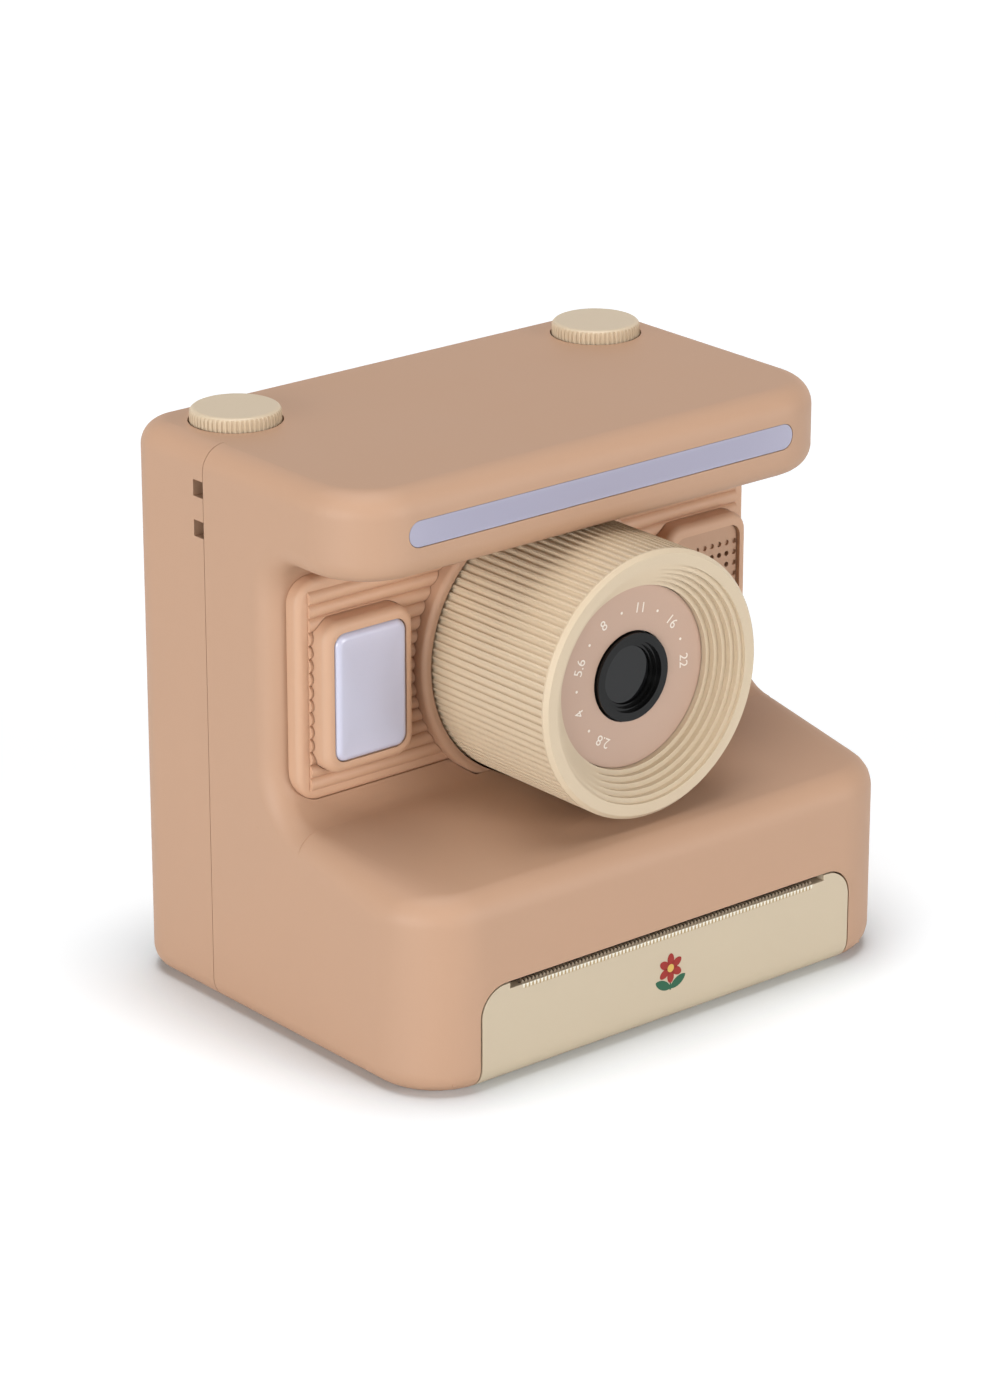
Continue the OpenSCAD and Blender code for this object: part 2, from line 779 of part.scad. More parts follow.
module case_screws() {
    color([0.55, 0.55, 0.57]) screw_places() {
        rod(screw_head_r, screw_seat_depth - screw_head_t, screw_seat_depth);
        rod(screw_r, screw_seat_depth, screw_seat_depth + screw_len);
    }
}

module bump_outline(grow) {
    rounded_rect(bump_w + 2 * grow, bump_h + 2 * grow, bump_corner_r + grow);
}

module front_panel() {
    ribs = round((panel_h - 2 * panel_border) / rib_pitch);
    rib_half = panel_w / 2 - panel_border;
    color([0.85, 0.70, 0.59]) difference() {
        union() {
            translate([0, at(recess_depth), panel_z]) rotate([90, 0, 0])
                soft_slab(panel_w / 2, -panel_h / 2, panel_h / 2, panel_corner_r, panel_corner_r, 0, panel_t,
                    panel_edge_r, 0);
            difference() {
                for (i = [0 : ribs - 1])
                    cross_rod(rib_r, -rib_half, rib_half, panel_depth + rib_rise - rib_r,
                        panel_z + (i - (ribs - 1) / 2) * rib_pitch);
                block(-half_w, half_w, 0, panel_depth - set_gap, 0, body_h);
                for (s = [-1, 1]) translate([s * window_x, 0, lens_z]) forward(recess_depth, body_d)
                    bump_outline(set_gap);
                translate([0, 0, lens_z]) rod(collar_r + set_gap, recess_depth, body_d);
            }
        }
        translate([0, 0, lens_z]) rod(tube_bore_r, recess_depth - over, panel_depth + over);
        for (s = [-1, 1]) translate([s * window_x, 0, lens_z])
            forward(recess_depth - over, panel_depth + over)
                rounded_rect(window_w - 2 * window_ledge, window_h - 2 * window_ledge, window_corner_r);
    }
}

module lens_collar() {
    inner = barrel_r + barrel_room;
    color([0.82, 0.66, 0.55]) turned(0, lens_z) {
        translate([inner, panel_depth]) square([collar_r - inner, collar_t - collar_edge_r]);
        translate([inner, collar_depth - collar_edge_r])
            square([collar_r - inner - collar_edge_r, collar_edge_r]);
        translate([collar_r - collar_edge_r, collar_depth - collar_edge_r]) quarter_round(collar_edge_r);
    }
}

module lens_tube() {
    eye_depth = bezel_back_depth - tube_shelf_t;
    flange_r = barrel_r - barrel_wall - run_gap;
    color([0.72, 0.60, 0.52]) turned(0, lens_z) polygon([[tube_bore_r, panel_depth], [flange_r, panel_depth],
        [flange_r, panel_depth + barrel_flange_t], [tube_r, panel_depth + barrel_flange_t],
        [tube_r, web_back_depth - end_play], [tube_neck_r, web_back_depth - end_play],
        [tube_neck_r, bezel_back_depth], [tube_eye_r, bezel_back_depth], [tube_eye_r, eye_depth],
        [tube_bore_r, eye_depth]]);
}

module lens_barrel() {
    inner = barrel_r - barrel_wall;
    seat_r = face_r + set_gap;
    step_r = (barrel_r - rim_w - seat_r) / face_steps;
    step_d = (face_sink - rim_edge) / face_steps;
    seat_depth = face_depth - face_t;
    steps = [for (i = [0 : face_steps - 1], k = [0, 1])
        [seat_r + (i + k) * step_r, face_depth + (i + 1) * step_d]];
    color([0.84, 0.76, 0.66]) difference() {
        turned(0, lens_z) polygon(concat([[inner, barrel_back_depth], [inner, web_back_depth],
            [tube_neck_r + run_gap, web_back_depth], [tube_neck_r + run_gap, web_front_depth],
            [seat_r - face_seat_w, web_front_depth], [seat_r - face_seat_w, seat_depth],
            [seat_r, seat_depth]], steps, [[barrel_r - rim_w, barrel_depth],
            [barrel_r - rim_edge, barrel_depth], [barrel_r, barrel_depth - rim_edge],
            [barrel_r, barrel_back_depth]]));
        translate([0, 0, lens_z]) for (i = [0 : barrel_ribs - 1]) rotate([0, 360 * i / barrel_ribs, 0])
            translate([barrel_r, 0, 0])
                rod(barrel_groove_r, collar_depth - collar_t / 2, barrel_depth - rim_edge - groove_end);
    }
}

module lens_face_plate() {
    color([0.83, 0.69, 0.60]) turned(0, lens_z)
        translate([bezel_r + push_gap, face_depth - face_t]) square([face_r - bezel_r - push_gap, face_t]);
}

module lens_bezel() {
    front = face_depth + bezel_proud;
    flange_front = bezel_back_depth + bezel_flange_t;
    seat = bezel_back_depth + glass_t;
    low_r = glass_r + set_gap;
    step_r = (bezel_r - bezel_lip - low_r) / bezel_steps;
    step_d = (front - seat) / bezel_steps;
    steps = [for (i = [bezel_steps - 1 : -1 : 0], k = [1, 0])
        [low_r + (i + k) * step_r, seat + (i + 1) * step_d]];
    color([0.06, 0.06, 0.06]) turned(0, lens_z) polygon(concat([[glass_r - glass_seat_w, bezel_back_depth],
        [bezel_flange_r, bezel_back_depth], [bezel_flange_r, flange_front], [bezel_r, flange_front],
        [bezel_r, front]], steps,
        [[low_r, seat - glass_seat_w], [glass_r - glass_seat_w, seat - glass_seat_w]]));
}

module lens_glass() {
    back = bezel_back_depth + glass_t - glass_seat_w;
    color([0.27, 0.26, 0.26]) turned(0, lens_z) translate([0, back]) square([glass_r, glass_t]);
}

module camera_module() {
    shelf = bezel_back_depth - tube_shelf_t;
    color([0.12, 0.12, 0.13]) {
        block(-module_side / 2, module_side / 2, shelf - module_t, shelf, lens_z - module_side / 2,
            lens_z + module_side / 2);
        translate([0, 0, lens_z]) rod(module_lens_r, shelf, shelf + module_lens_t);
    }
}

module window_bezel(side) {
    translate([side * window_x, at(panel_depth), lens_z]) rotate([90, 0, 0]) difference() {
        soft_slab(bump_w / 2, -bump_h / 2, bump_h / 2, bump_corner_r, bump_corner_r, 0, bump_t, bump_edge_r,
            0);
        translate([0, 0, -over]) linear_extrude(height = bump_t + 2 * over)
            rounded_rect(window_w, window_h, window_corner_r);
    }
}

module flash_bezel() {
    color([0.84, 0.68, 0.57]) window_bezel(-1);
}

module flash_diffuser() {
    corner_r = window_corner_r - set_gap;
    half_h = window_h / 2 - set_gap;
    color([0.80, 0.79, 0.88]) translate([-window_x, at(panel_depth), lens_z]) rotate([90, 0, 0])
        soft_slab(window_w / 2 - set_gap, -half_h, half_h, corner_r, corner_r, 0, bump_t + diffuser_rise,
            diffuser_edge_r, 0);
}

module flash_board() {
    board_depth0 = recess_depth - wall - flash_board_t;
    color([0.15, 0.40, 0.22]) translate([-window_x, 0, lens_z]) {
        forward(board_depth0, board_depth0 + flash_board_t)
            square([bump_w - window_ledge, flash_board_h], center = true);
        forward(board_depth0, board_depth0 + flash_board_t + flash_led_t)
            square(flash_led_side, center = true);
    }
}

module speaker_bezel() {
    color([0.78, 0.61, 0.50]) window_bezel(1);
}

module speaker_grille() {
    front = bump_depth - grille_sink;
    w = window_w - 2 * set_gap;
    h = window_h - 2 * set_gap;
    color([0.66, 0.50, 0.40]) translate([window_x, 0, lens_z]) difference() {
        forward(panel_depth, front) rounded_rect(w, h, window_corner_r - set_gap);
        forward(panel_depth - over, front - grille_t)
            rounded_rect(w - 2 * window_ledge, h - 2 * window_ledge, window_corner_r - set_gap);
        for (i = [0 : grille_columns - 1], k = [0 : grille_rows - 1]) {
            edge = i == 0 || k == 0 || i == grille_columns - 1 || k == grille_rows - 1;
            translate([(i - (grille_columns - 1) / 2) * grille_pitch_x, 0,
                (k - (grille_rows - 1) / 2) * grille_pitch_z])
                rod(grille_hole_r, edge ? front - grille_dimple : front - grille_t - over, front + over);
        }
    }
}

module speaker_driver() {
    back = recess_depth - wall - speaker_t;
    color([0.20, 0.20, 0.21]) translate([window_x, 0, lens_z]) {
        rod(speaker_r, back + speaker_magnet_t, back + speaker_t);
        rod(speaker_magnet_r, back, back + speaker_magnet_t);
    }
}

module light_strip() {
    back = hood_depth - wall;
    r = strip_h / 2 - set_gap / 2;
    groove_w = strip_w - 2 * strip_h;
    color([0.69, 0.67, 0.75]) translate([0, 0, strip_z]) difference() {
        union() {
            forward(back - strip_flange_t, back)
                rounded_rect(strip_w - 2 * strip_flange_in, strip_h + 2 * strip_flange, r);
            forward(back - set_gap, hood_depth - set_gap) rounded_rect(strip_w, strip_h, r);
        }
        forward(back - strip_flange_t - over, back - strip_flange_t + led_t + set_gap)
            square([groove_w, led_side + 2 * set_gap], center = true);
    }
}

module light_board() {
    front = hood_depth - wall - strip_flange_t;
    leds = floor((strip_w - 2 * strip_h - led_side) / led_pitch);
    color([0.90, 0.90, 0.88]) translate([0, 0, strip_z]) {
        forward(front - light_board_t, front) square([strip_w, strip_h + strip_flange], center = true);
        for (i = [0 : leds]) translate([(i - leds / 2) * led_pitch, 0, 0])
            forward(front, front + led_t) square(led_side, center = true);
    }
}

module top_button(side) {
    top = body_h + button_proud;
    flange_z = body_h - wall - button_flange_gap - button_flange_t;
    translate([side * button_x, at(button_depth), 0]) {
        difference() {
            rotate_extrude() edge_section(button_r, flange_z, top, button_edge_r, 0);
            for (i = [0 : button_ribs - 1]) rotate([0, 0, 360 * i / button_ribs])
                translate([button_r, 0, body_h - wall / 2])
                    cylinder(r = button_groove_r, h = wall + button_proud);
        }
        translate([0, 0, flange_z]) cylinder(r = button_r + button_flange, h = button_flange_t);
        translate([0, 0, button_stem_z]) cylinder(r = button_stem_r, h = button_stem_h + button_flange_t);
    }
}

module shutter_button() {
    color([0.83, 0.76, 0.67]) top_button(-1);
}

module print_button() {
    color([0.83, 0.76, 0.67]) top_button(1);
}

module switch_boards() {
    color([0.15, 0.40, 0.22]) both_sides() translate([button_x, at(button_depth), switch_board_z])
        linear_extrude(height = switch_board_t) square(switch_board_side, center = true);
}

module button_switches() {
    color([0.25, 0.25, 0.27]) both_sides()
        translate([button_x, at(button_depth), switch_board_z + switch_board_t]) {
            linear_extrude(height = switch_h) square(switch_side, center = true);
            cylinder(r = switch_plunger_r, h = switch_h + switch_plunger_h);
        }
}

module screen_window() {
    color([0.10, 0.11, 0.13]) translate([screen_x, 0, screen_z]) forward(window_sink, window_sink + window_t)
        rounded_rect(screen_w - 2 * set_gap, screen_h - 2 * set_gap, screen_ledge - set_gap);
}

module screen_panel() {
    color([0.20, 0.22, 0.26]) translate([screen_x, 0, screen_z]) forward(wall, wall + lcd_t)
        square([screen_w + 2 * lcd_border, screen_h + 2 * lcd_border], center = true);
}

module main_board() {
    color([0.12, 0.36, 0.24]) difference() {
        block(-board_half_w, board_half_w, board_depth, board_front, board_low_z, board_high_z);
        screw_places() rod(screw_post_r + notch_gap, board_depth - over, board_front + over);
    }
}

module battery() {
    color([0.75, 0.76, 0.78]) translate([0, 0, battery_z]) across(-battery_w / 2, battery_w / 2)
        translate([at(board_front + battery_t / 2), 0]) rounded_rect(battery_t, battery_h, battery_edge_r);
}

module usb_socket() {
    color([0.70, 0.70, 0.72]) difference() {
        across(inner_w - usb_len - set_gap, inner_w - set_gap) translate([at(board_front + usb_t / 2), usb_z])
            rounded_rect(usb_t, usb_w, usb_t / 2 - set_gap);
        across(inner_w - usb_len / 2, inner_w) translate([at(board_front + usb_t / 2), usb_z])
            rounded_rect(usb_t / 2, usb_w - usb_t / 2, usb_t / 4 - set_gap);
    }
}

module card_socket() {
    color([0.72, 0.72, 0.74]) block(inner_w - card_len - set_gap, inner_w - set_gap, board_front,
        board_front + card_t, card_z - card_w / 2 - set_gap, card_z + card_w / 2 + set_gap);
}

// Keys seen from the rear: right is towards -X
key_places = [[-keys_x, 0, screen_z + key_spacing], [-keys_x, 0, screen_z - key_spacing],
    [key_spacing - keys_x, 0, screen_z], [-key_spacing - keys_x, 0, screen_z], [-keys_x, 0, screen_z]];

module key(index) {
    color([0.84, 0.76, 0.66]) translate(key_places[index]) {
        turned(0, 0) polygon([[0, key_top_depth], [key_r - key_dome, key_top_depth],
            [key_r, key_top_depth + key_dome], [key_r, key_back_depth], [0, key_back_depth]]);
        rod(key_r + key_flange, key_flange_depth, key_back_depth);
    }
}

module key_switches() {
    color([0.25, 0.25, 0.27]) for (place = key_places) translate(place)
        forward(key_switch_depth, board_depth) square(key_switch_side, center = true);
}

// Lower half of the round lip that the door turns on, from its outer radius in to another
module door_lip(inner_r) {
    difference() {
        circle(base_fillet_r);
        if (inner_r > 0) circle(inner_r);
        translate([-base_fillet_r - over, 0]) square(2 * (base_fillet_r + over));
    }
}

module paper_door() {
    half = door_w / 2;
    bearing_x = platen_half_w + bearing_gap;
    bearing_r = platen_shaft_r + run_gap + bearing_wall;
    color([0.82, 0.75, 0.65]) difference() {
        union() {
            forward(door_inner_depth, body_d) intersection() {
                door_outline(0);
                translate([-body_w, hinge_z]) square([2 * body_w, body_h]);
            }
            across(knuckle_w - half, half - knuckle_w)
                translate([at(hinge_depth), hinge_z]) door_lip(base_fillet_r - hinge_wall);
            both_sides() {
                across(half - knuckle_w, half) translate([at(hinge_depth), hinge_z]) {
                    door_lip(0);
                    circle(base_fillet_r - knuckle_step);
                }
                across(bearing_x, bearing_x + bearing_w) translate([at(platen_depth), platen_z]) {
                    circle(bearing_r);
                    translate([platen_depth - door_inner_depth - door_t / 2, -bearing_r])
                        square([door_inner_depth + door_t / 2 - platen_depth, 2 * bearing_r]);
                }
            }
        }
        block(-slot_w / 2, slot_w / 2, platen_depth, body_d + over, door_top_z - slot_drop,
            door_top_z + over);
        both_sides() {
            cross_rod(hinge_pin_r + run_gap, half - knuckle_w - over, half + over, hinge_depth, hinge_z);
            cross_rod(platen_shaft_r + run_gap, bearing_x - over, bearing_x + bearing_w + over, platen_depth,
                platen_z);
        }
    }
}

module door_hinge_pins() {
    inner = door_w / 2 - pin_in_door;
    outer = door_w / 2 + door_gap + hinge_ear_w - hinge_pin_r - set_gap;
    color([0.62, 0.62, 0.64]) both_sides() cross_rod(hinge_pin_r, inner, outer, hinge_depth, hinge_z);
}

module tear_bar() {
    edge = door_top_z - slot_drop;
    teeth = floor(tear_w / tear_pitch);
    color([0.93, 0.92, 0.90]) forward(body_d - tear_set_back - tear_t, body_d - tear_set_back) {
        translate([-teeth * tear_pitch / 2, edge]) square([teeth * tear_pitch, tear_h]);
        for (i = [0 : teeth - 1]) translate([(i - teeth / 2) * tear_pitch, edge + tear_h])
            polygon([[0, 0], [tear_pitch, 0], [tear_pitch / 2, tear_tooth_h]]);
    }
}

module platen_roller() {
    color([0.20, 0.20, 0.21]) difference() {
        cross_rod(platen_r, -platen_half_w, platen_half_w, platen_depth, platen_z);
        cross_rod(platen_shaft_r + shaft_fit, -platen_half_w - over, platen_half_w + over, platen_depth,
            platen_z);
    }
}

module platen_shaft() {
    color([0.62, 0.62, 0.64]) cross_rod(platen_shaft_r, -gear_x, gear_end_x, platen_depth, platen_z);
}

// Spur gear outline with straight flanks, one tooth on the line at turn
module gear_outline(teeth, turn) {
    pitch_r = gear_module * teeth / 2;
    tip_r = pitch_r + addendum_share * gear_module;
    root_r = pitch_r - dedendum_share * gear_module;
    half_angle = tooth_width_share * 180 / teeth;
    lean = tan(flank_angle) * 180 / PI / pitch_r;
    root_angle = half_angle + (pitch_r - root_r) * lean;
    tip_angle = half_angle - (tip_r - pitch_r) * lean;
    polygon([for (i = [0 : teeth - 1], p = [[root_r, -root_angle], [tip_r, -tip_angle], [tip_r, tip_angle],
        [root_r, root_angle]]) let (a = turn + 360 * i / teeth + p[1]) p[0] * [cos(a), sin(a)]]);
}

module gear(teeth, turn, depth, z, bore_r) {
    across(gear_x, gear_end_x) translate([at(depth), z]) difference() {
        gear_outline(teeth, turn);
        circle(bore_r);
    }
}

module platen_gear() {
    color([0.92, 0.92, 0.90])
        gear(platen_teeth, idler_angle, platen_depth, platen_z, platen_shaft_r + shaft_fit);
}

module idler_gear() {
    color([0.92, 0.92, 0.90]) gear(idler_teeth, idler_turn, idler_depth, idler_z, idler_axle_r + run_gap);
}

module idler_axle() {
    color([0.62, 0.62, 0.64]) cross_rod(idler_axle_r, frame_x, plate_x + plate_t, idler_depth, idler_z);
}

module motor_pinion() {
    color([0.80, 0.68, 0.36]) {
        across(gear_x, gear_end_x) translate([at(pinion_depth), pinion_z])
            gear_outline(pinion_teeth, pinion_turn);
        cross_rod(motor_shaft_r, gear_x, motor_x + motor_bore - set_gap, pinion_depth, pinion_z);
    }
}

module drive_motor() {
    color([0.70, 0.70, 0.72]) difference() {
        union() {
            cross_rod(motor_r, motor_x, motor_x + motor_len, pinion_depth, pinion_z);
            cross_rod(motor_boss_r, plate_x, motor_x + motor_len / 2, pinion_depth, pinion_z);
        }
        cross_rod(motor_shaft_r + run_gap, plate_x - over, motor_x + motor_bore, pinion_depth, pinion_z);
    }
}

// Places of the two posts that carry the motor plate, round the motor's axis
module post_places() {
    for (k = [0, 1]) translate([at(pinion_depth), pinion_z]) rotate(pinion_angle - k * post_turn)
        translate([motor_r, 0]) children();
}

module motor_plate() {
    color([0.66, 0.66, 0.68]) across(plate_x, plate_x + plate_t) difference() {
        union() {
            translate([at(pinion_depth), pinion_z]) circle(motor_r + plate_rim);
            translate([at(idler_depth), idler_z]) rotate(pinion_angle)
                translate([0, -plate_arm_w / 2]) square([pinion_reach, plate_arm_w]);
            translate([at(idler_depth), idler_z]) circle(plate_arm_w / 2);
            post_places() circle(post_r + plate_rim);
        }
        translate([at(pinion_depth), pinion_z]) circle(motor_boss_r + run_gap);
        translate([at(idler_depth), idler_z]) circle(idler_axle_r + pin_fit);
    }
}

module printer_frame() {
    outer_x = frame_x + frame_wall;
    back = roll_depth - frame_back;
    front = platen_depth - frame_front_gap;
    top = roll_z + frame_top;
    color([0.30, 0.30, 0.32]) difference() {
        union() {
            difference() {
                block(-frame_x, frame_x, roll_depth - cradle_back, roll_depth + cradle_front, wall,
                    roll_z - cradle_rim_drop);
                cross_rod(roll_r + roll_room, -frame_x - over, frame_x + over, roll_depth, roll_z);
            }
            both_sides() across(frame_x, outer_x) {
                translate([at(front), wall]) square([front - back, top - wall - frame_corner_r]);
                translate([at((front + back) / 2), (top + wall) / 2])
                    rounded_rect(front - back, top - wall, frame_corner_r);
                translate([at(platen_depth - arm_front), platen_z + arm_low])
                    square([frame_front_gap, top - frame_corner_r - platen_z - arm_low]);
            }
            across(outer_x - set_gap, plate_x) post_places() circle(post_r);
        }
        cross_rod(idler_axle_r + pin_fit, frame_x - over, outer_x + over, idler_depth, idler_z);
    }
}

// Places an outline on the platen's axis with x pointing out through the print line
module at_print_line() {
    half = frame_x - head_end_gap;
    across(-half, half) translate([at(platen_depth), platen_z]) rotate(head_angle) children();
}

module thermal_head() {
    color([0.92, 0.90, 0.84]) at_print_line()
        translate([platen_r + paper_gap + paper_t + head_gap, -head_back])
            square([head_t, head_back + head_front]);
}

module head_bracket() {
    color([0.70, 0.70, 0.72]) at_print_line()
        translate([platen_r + paper_gap + paper_t + head_gap + head_t, -head_back])
            square([bracket_t, head_back + head_front]);
}

module paper_roll() {
    color([0.95, 0.95, 0.94]) difference() {
        cross_rod(roll_r, -paper_w / 2, paper_w / 2, roll_depth, roll_z);
        cross_rod(roll_core_r, -paper_w / 2 - over, paper_w / 2 + over, roll_depth, roll_z);
    }
}

module roll_core() {
    color([0.70, 0.58, 0.44]) difference() {
        cross_rod(roll_core_r - shaft_fit, -paper_w / 2, paper_w / 2, roll_depth, roll_z);
        cross_rod(roll_bore_r, -paper_w / 2 - over, paper_w / 2 + over, roll_depth, roll_z);
    }
}

// One side of the paper: from the roll's lower front, over the back of the platen and out through the slot
function paper_side(r, wrap, run, reach) = concat(
    [r * [cos(wrap), sin(wrap)] + run * [sin(wrap), -cos(wrap)]],
    [for (i = [0 : paper_steps]) let (a = wrap + (90 - wrap) * i / paper_steps) r * [cos(a), sin(a)]],
    [[-reach, r]]);

module paper_strip() {
    inner_r = platen_r + paper_gap;
    outer_r = inner_r + paper_t;
    line = atan2(roll_z - platen_z, platen_depth - roll_depth);
    both_r = outer_r + roll_r + roll_room;
    wrap = line + acos(both_r / roll_reach);
    run = sqrt(pow(roll_reach, 2) - pow(both_r, 2));
    reach = body_d - paper_tuck - platen_depth;
    inner = paper_side(inner_r, wrap, run, reach);
    outer = paper_side(outer_r, wrap, run, reach);
    color([0.96, 0.96, 0.95]) across(-paper_w / 2, paper_w / 2) translate([at(platen_depth), platen_z])
        polygon(concat(inner, [for (i = [len(outer) - 1 : -1 : 0]) outer[i]]));
}

rear_shell();
front_shell();
case_screws();
front_panel();
lens_collar();
lens_tube();
lens_barrel();
lens_face_plate();
lens_bezel();
lens_glass();
camera_module();
flash_bezel();
flash_diffuser();
flash_board();
speaker_bezel();
speaker_grille();
speaker_driver();
light_strip();
light_board();
shutter_button();
print_button();
switch_boards();
button_switches();
screen_window();
screen_panel();
main_board();
battery();
usb_socket();
card_socket();
key(0);  // key_up
key(1);  // key_down
key(2);  // key_left
key(3);  // key_right
key(4);  // key_ok
key_switches();
paper_door();
door_hinge_pins();
tear_bar();
platen_roller();
platen_shaft();
platen_gear();
idler_gear();
idler_axle();
motor_pinion();
drive_motor();
motor_plate();
printer_frame();
thermal_head();
head_bracket();
paper_roll();
roll_core();
paper_strip();
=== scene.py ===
# %% [markdown]
# # An instant-print toy camera
# This lesson dresses a finished mechanical model of a toy camera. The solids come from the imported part,
# each on the body that it moves with. We add the view, the light, the finishes and the small pieces that
# a drawing of solids doesn't hold, and leave every solid where it is.

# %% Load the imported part
import json
import math
import bmesh
import bpy
from mathutils import Matrix, Vector


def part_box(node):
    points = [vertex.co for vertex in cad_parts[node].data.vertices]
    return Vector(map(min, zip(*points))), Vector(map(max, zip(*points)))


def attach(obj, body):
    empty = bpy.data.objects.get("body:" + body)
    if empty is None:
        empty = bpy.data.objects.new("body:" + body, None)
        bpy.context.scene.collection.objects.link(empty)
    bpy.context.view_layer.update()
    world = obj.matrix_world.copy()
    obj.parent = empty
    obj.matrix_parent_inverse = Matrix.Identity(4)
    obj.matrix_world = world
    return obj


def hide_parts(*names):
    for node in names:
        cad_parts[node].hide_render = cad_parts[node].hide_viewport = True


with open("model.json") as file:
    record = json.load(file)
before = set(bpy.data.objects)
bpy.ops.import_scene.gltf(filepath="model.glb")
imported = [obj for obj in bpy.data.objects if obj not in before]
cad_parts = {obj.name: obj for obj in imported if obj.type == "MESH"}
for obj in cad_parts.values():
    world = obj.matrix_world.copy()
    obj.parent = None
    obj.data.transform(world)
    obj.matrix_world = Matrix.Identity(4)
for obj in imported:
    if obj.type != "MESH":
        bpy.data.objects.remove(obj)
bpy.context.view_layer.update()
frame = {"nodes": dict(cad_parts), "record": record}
nodes = frame["nodes"]
MM = 0.001

# %% [markdown]
# ## The view
# The photograph was taken from the front left and a little above with a long lens, so the uprights stay
# almost parallel. A camera needs three things for that: where it stands, where it looks, and a focal
# length. We give the look as a direction and let Blender turn it into a rotation. The focal length was
# found in pixels of the photograph, so the sensor's height turns it into millimetres.

# %% Camera
AZIMUTH = math.radians(39.81)
ELEVATION = math.radians(20.88)
EYE_PLACE = (-0.45056, -0.53621, 0.30969)
FOCAL_PIXELS = 4853.0
PICTURE_PIXELS = 1400
SENSOR_MM = 36
NEAREST, FARTHEST = 0.01, 20


def into_scene(name, data):
    """An object that holds some data, linked to the scene."""
    made = bpy.data.objects.new(name, data)
    bpy.context.scene.collection.objects.link(made)
    return made


def facing(direction):
    """The rotation that points a camera or a lamp along a direction."""
    return direction.to_track_quat("-Z", "Y").to_euler()


eye = bpy.data.cameras.new("eye")
eye.sensor_fit = "VERTICAL"
eye.sensor_height = SENSOR_MM
eye.lens = SENSOR_MM * FOCAL_PIXELS / PICTURE_PIXELS
eye.clip_start = NEAREST
eye.clip_end = FARTHEST
camera = into_scene("camera_view", eye)
camera.location = EYE_PLACE
level = math.cos(ELEVATION)
look = Vector((math.sin(AZIMUTH) * level, math.cos(AZIMUTH) * level, -math.sin(ELEVATION)))
camera.rotation_euler = facing(look)
bpy.context.scene.camera = camera
print("camera lens", round(eye.lens, 1), "mm")

# %% [markdown]
# ## Sums with sockets
# A finish is a small calculation: a pattern, its strength, a colour between two others. Written as nodes
# that soon becomes a long list, so a small class wraps a socket and lets Python's own signs add the Math
# nodes. Each sign has two forms, with the socket on its left or on its right, so 1 - mask works too.

# %% Socket sums
def signs(operation):
    """The two forms of a Python sign: the socket on its left, and the socket on its right."""
    def left(self, other):
        return self.math(operation, self, other)

    def right(self, other):
        return self.math(operation, other, self)

    return left, right


class Value:
    """A shader socket that Python can calculate with."""

    def __init__(self, owner, socket):
        self.owner = owner
        self.socket = socket

    def math(self, operation, *terms):
        return self.owner.node("ShaderNodeMath", {"operation": operation}, dict(enumerate(terms)))

    __add__, __radd__ = signs("ADD")
    __sub__, __rsub__ = signs("SUBTRACT")
    __mul__, __rmul__ = signs("MULTIPLY")
    __truediv__, __rtruediv__ = signs("DIVIDE")
    __pow__, __rpow__ = signs("POWER")
    __mod__, __rmod__ = signs("FLOORED_MODULO")
    __lt__, __gt__ = signs("LESS_THAN")

    def high(self, other):
        return self.math("MAXIMUM", self, other)

    def size(self):
        return self.math("ABSOLUTE", self)


print("socket sums ready")

# %% [markdown]
# Every other node comes from one method that makes a node, sets it up and fills its sockets with numbers
# or links. Materials and the world have a node tree alike, so they share it. A Mix node has sockets of the
# same name for numbers, vectors and colours, so those for colours are picked by their place in the list.

# %% Node maker
MIX_FACTOR, MIX_FIRST, MIX_SECOND, MIX_COLOUR = 0, 6, 7, 2


class Nodes:
    """The node tree of a material or a world."""

    def __init__(self, holder):
        holder.use_nodes = True
        self.tree = holder.node_tree

    def node(self, kind, settings=None, inputs=None, output=0):
        """Makes a node, sets it up, fills its sockets and gives one of its outputs."""
        made = self.tree.nodes.new(kind)
        for key, value in (settings or {}).items():
            setattr(made, key, value)
        for key, value in (inputs or {}).items():
            self.fill(made.inputs[key], value)
        return Value(self, made.outputs[output])

    def fill(self, socket, value):
        if isinstance(value, Value):
            self.tree.links.new(value.socket, socket)
        else:
            socket.default_value = value

    def where(self, kind="Object"):
        """Coordinates as a vector."""
        return self.node("ShaderNodeTexCoord", output=kind)

    def parts(self, vector):
        """The x, y and z of a vector."""
        split = self.node("ShaderNodeSeparateXYZ", inputs={0: vector}).socket.node
        return [Value(self, socket) for socket in split.outputs]

    def step(self, value, start, end, low=0.0, high=1.0):
        """A smooth step from low to high while a value goes from start to end."""
        ends = {"Value": value, "From Min": start, "From Max": end, "To Min": low, "To Max": high}
        return self.node("ShaderNodeMapRange", {"interpolation_type": "SMOOTHSTEP"}, ends)

    def seen(self):
        """1 for what the camera sees, also in mirrors and through glass, and 0 for plain light."""
        path = self.node("ShaderNodeLightPath").socket.node
        kinds = ("Is Camera Ray", "Is Glossy Ray", "Is Transmission Ray")
        straight, mirrored, through = [Value(self, path.outputs[kind]) for kind in kinds]
        return straight.high(mirrored).high(through)


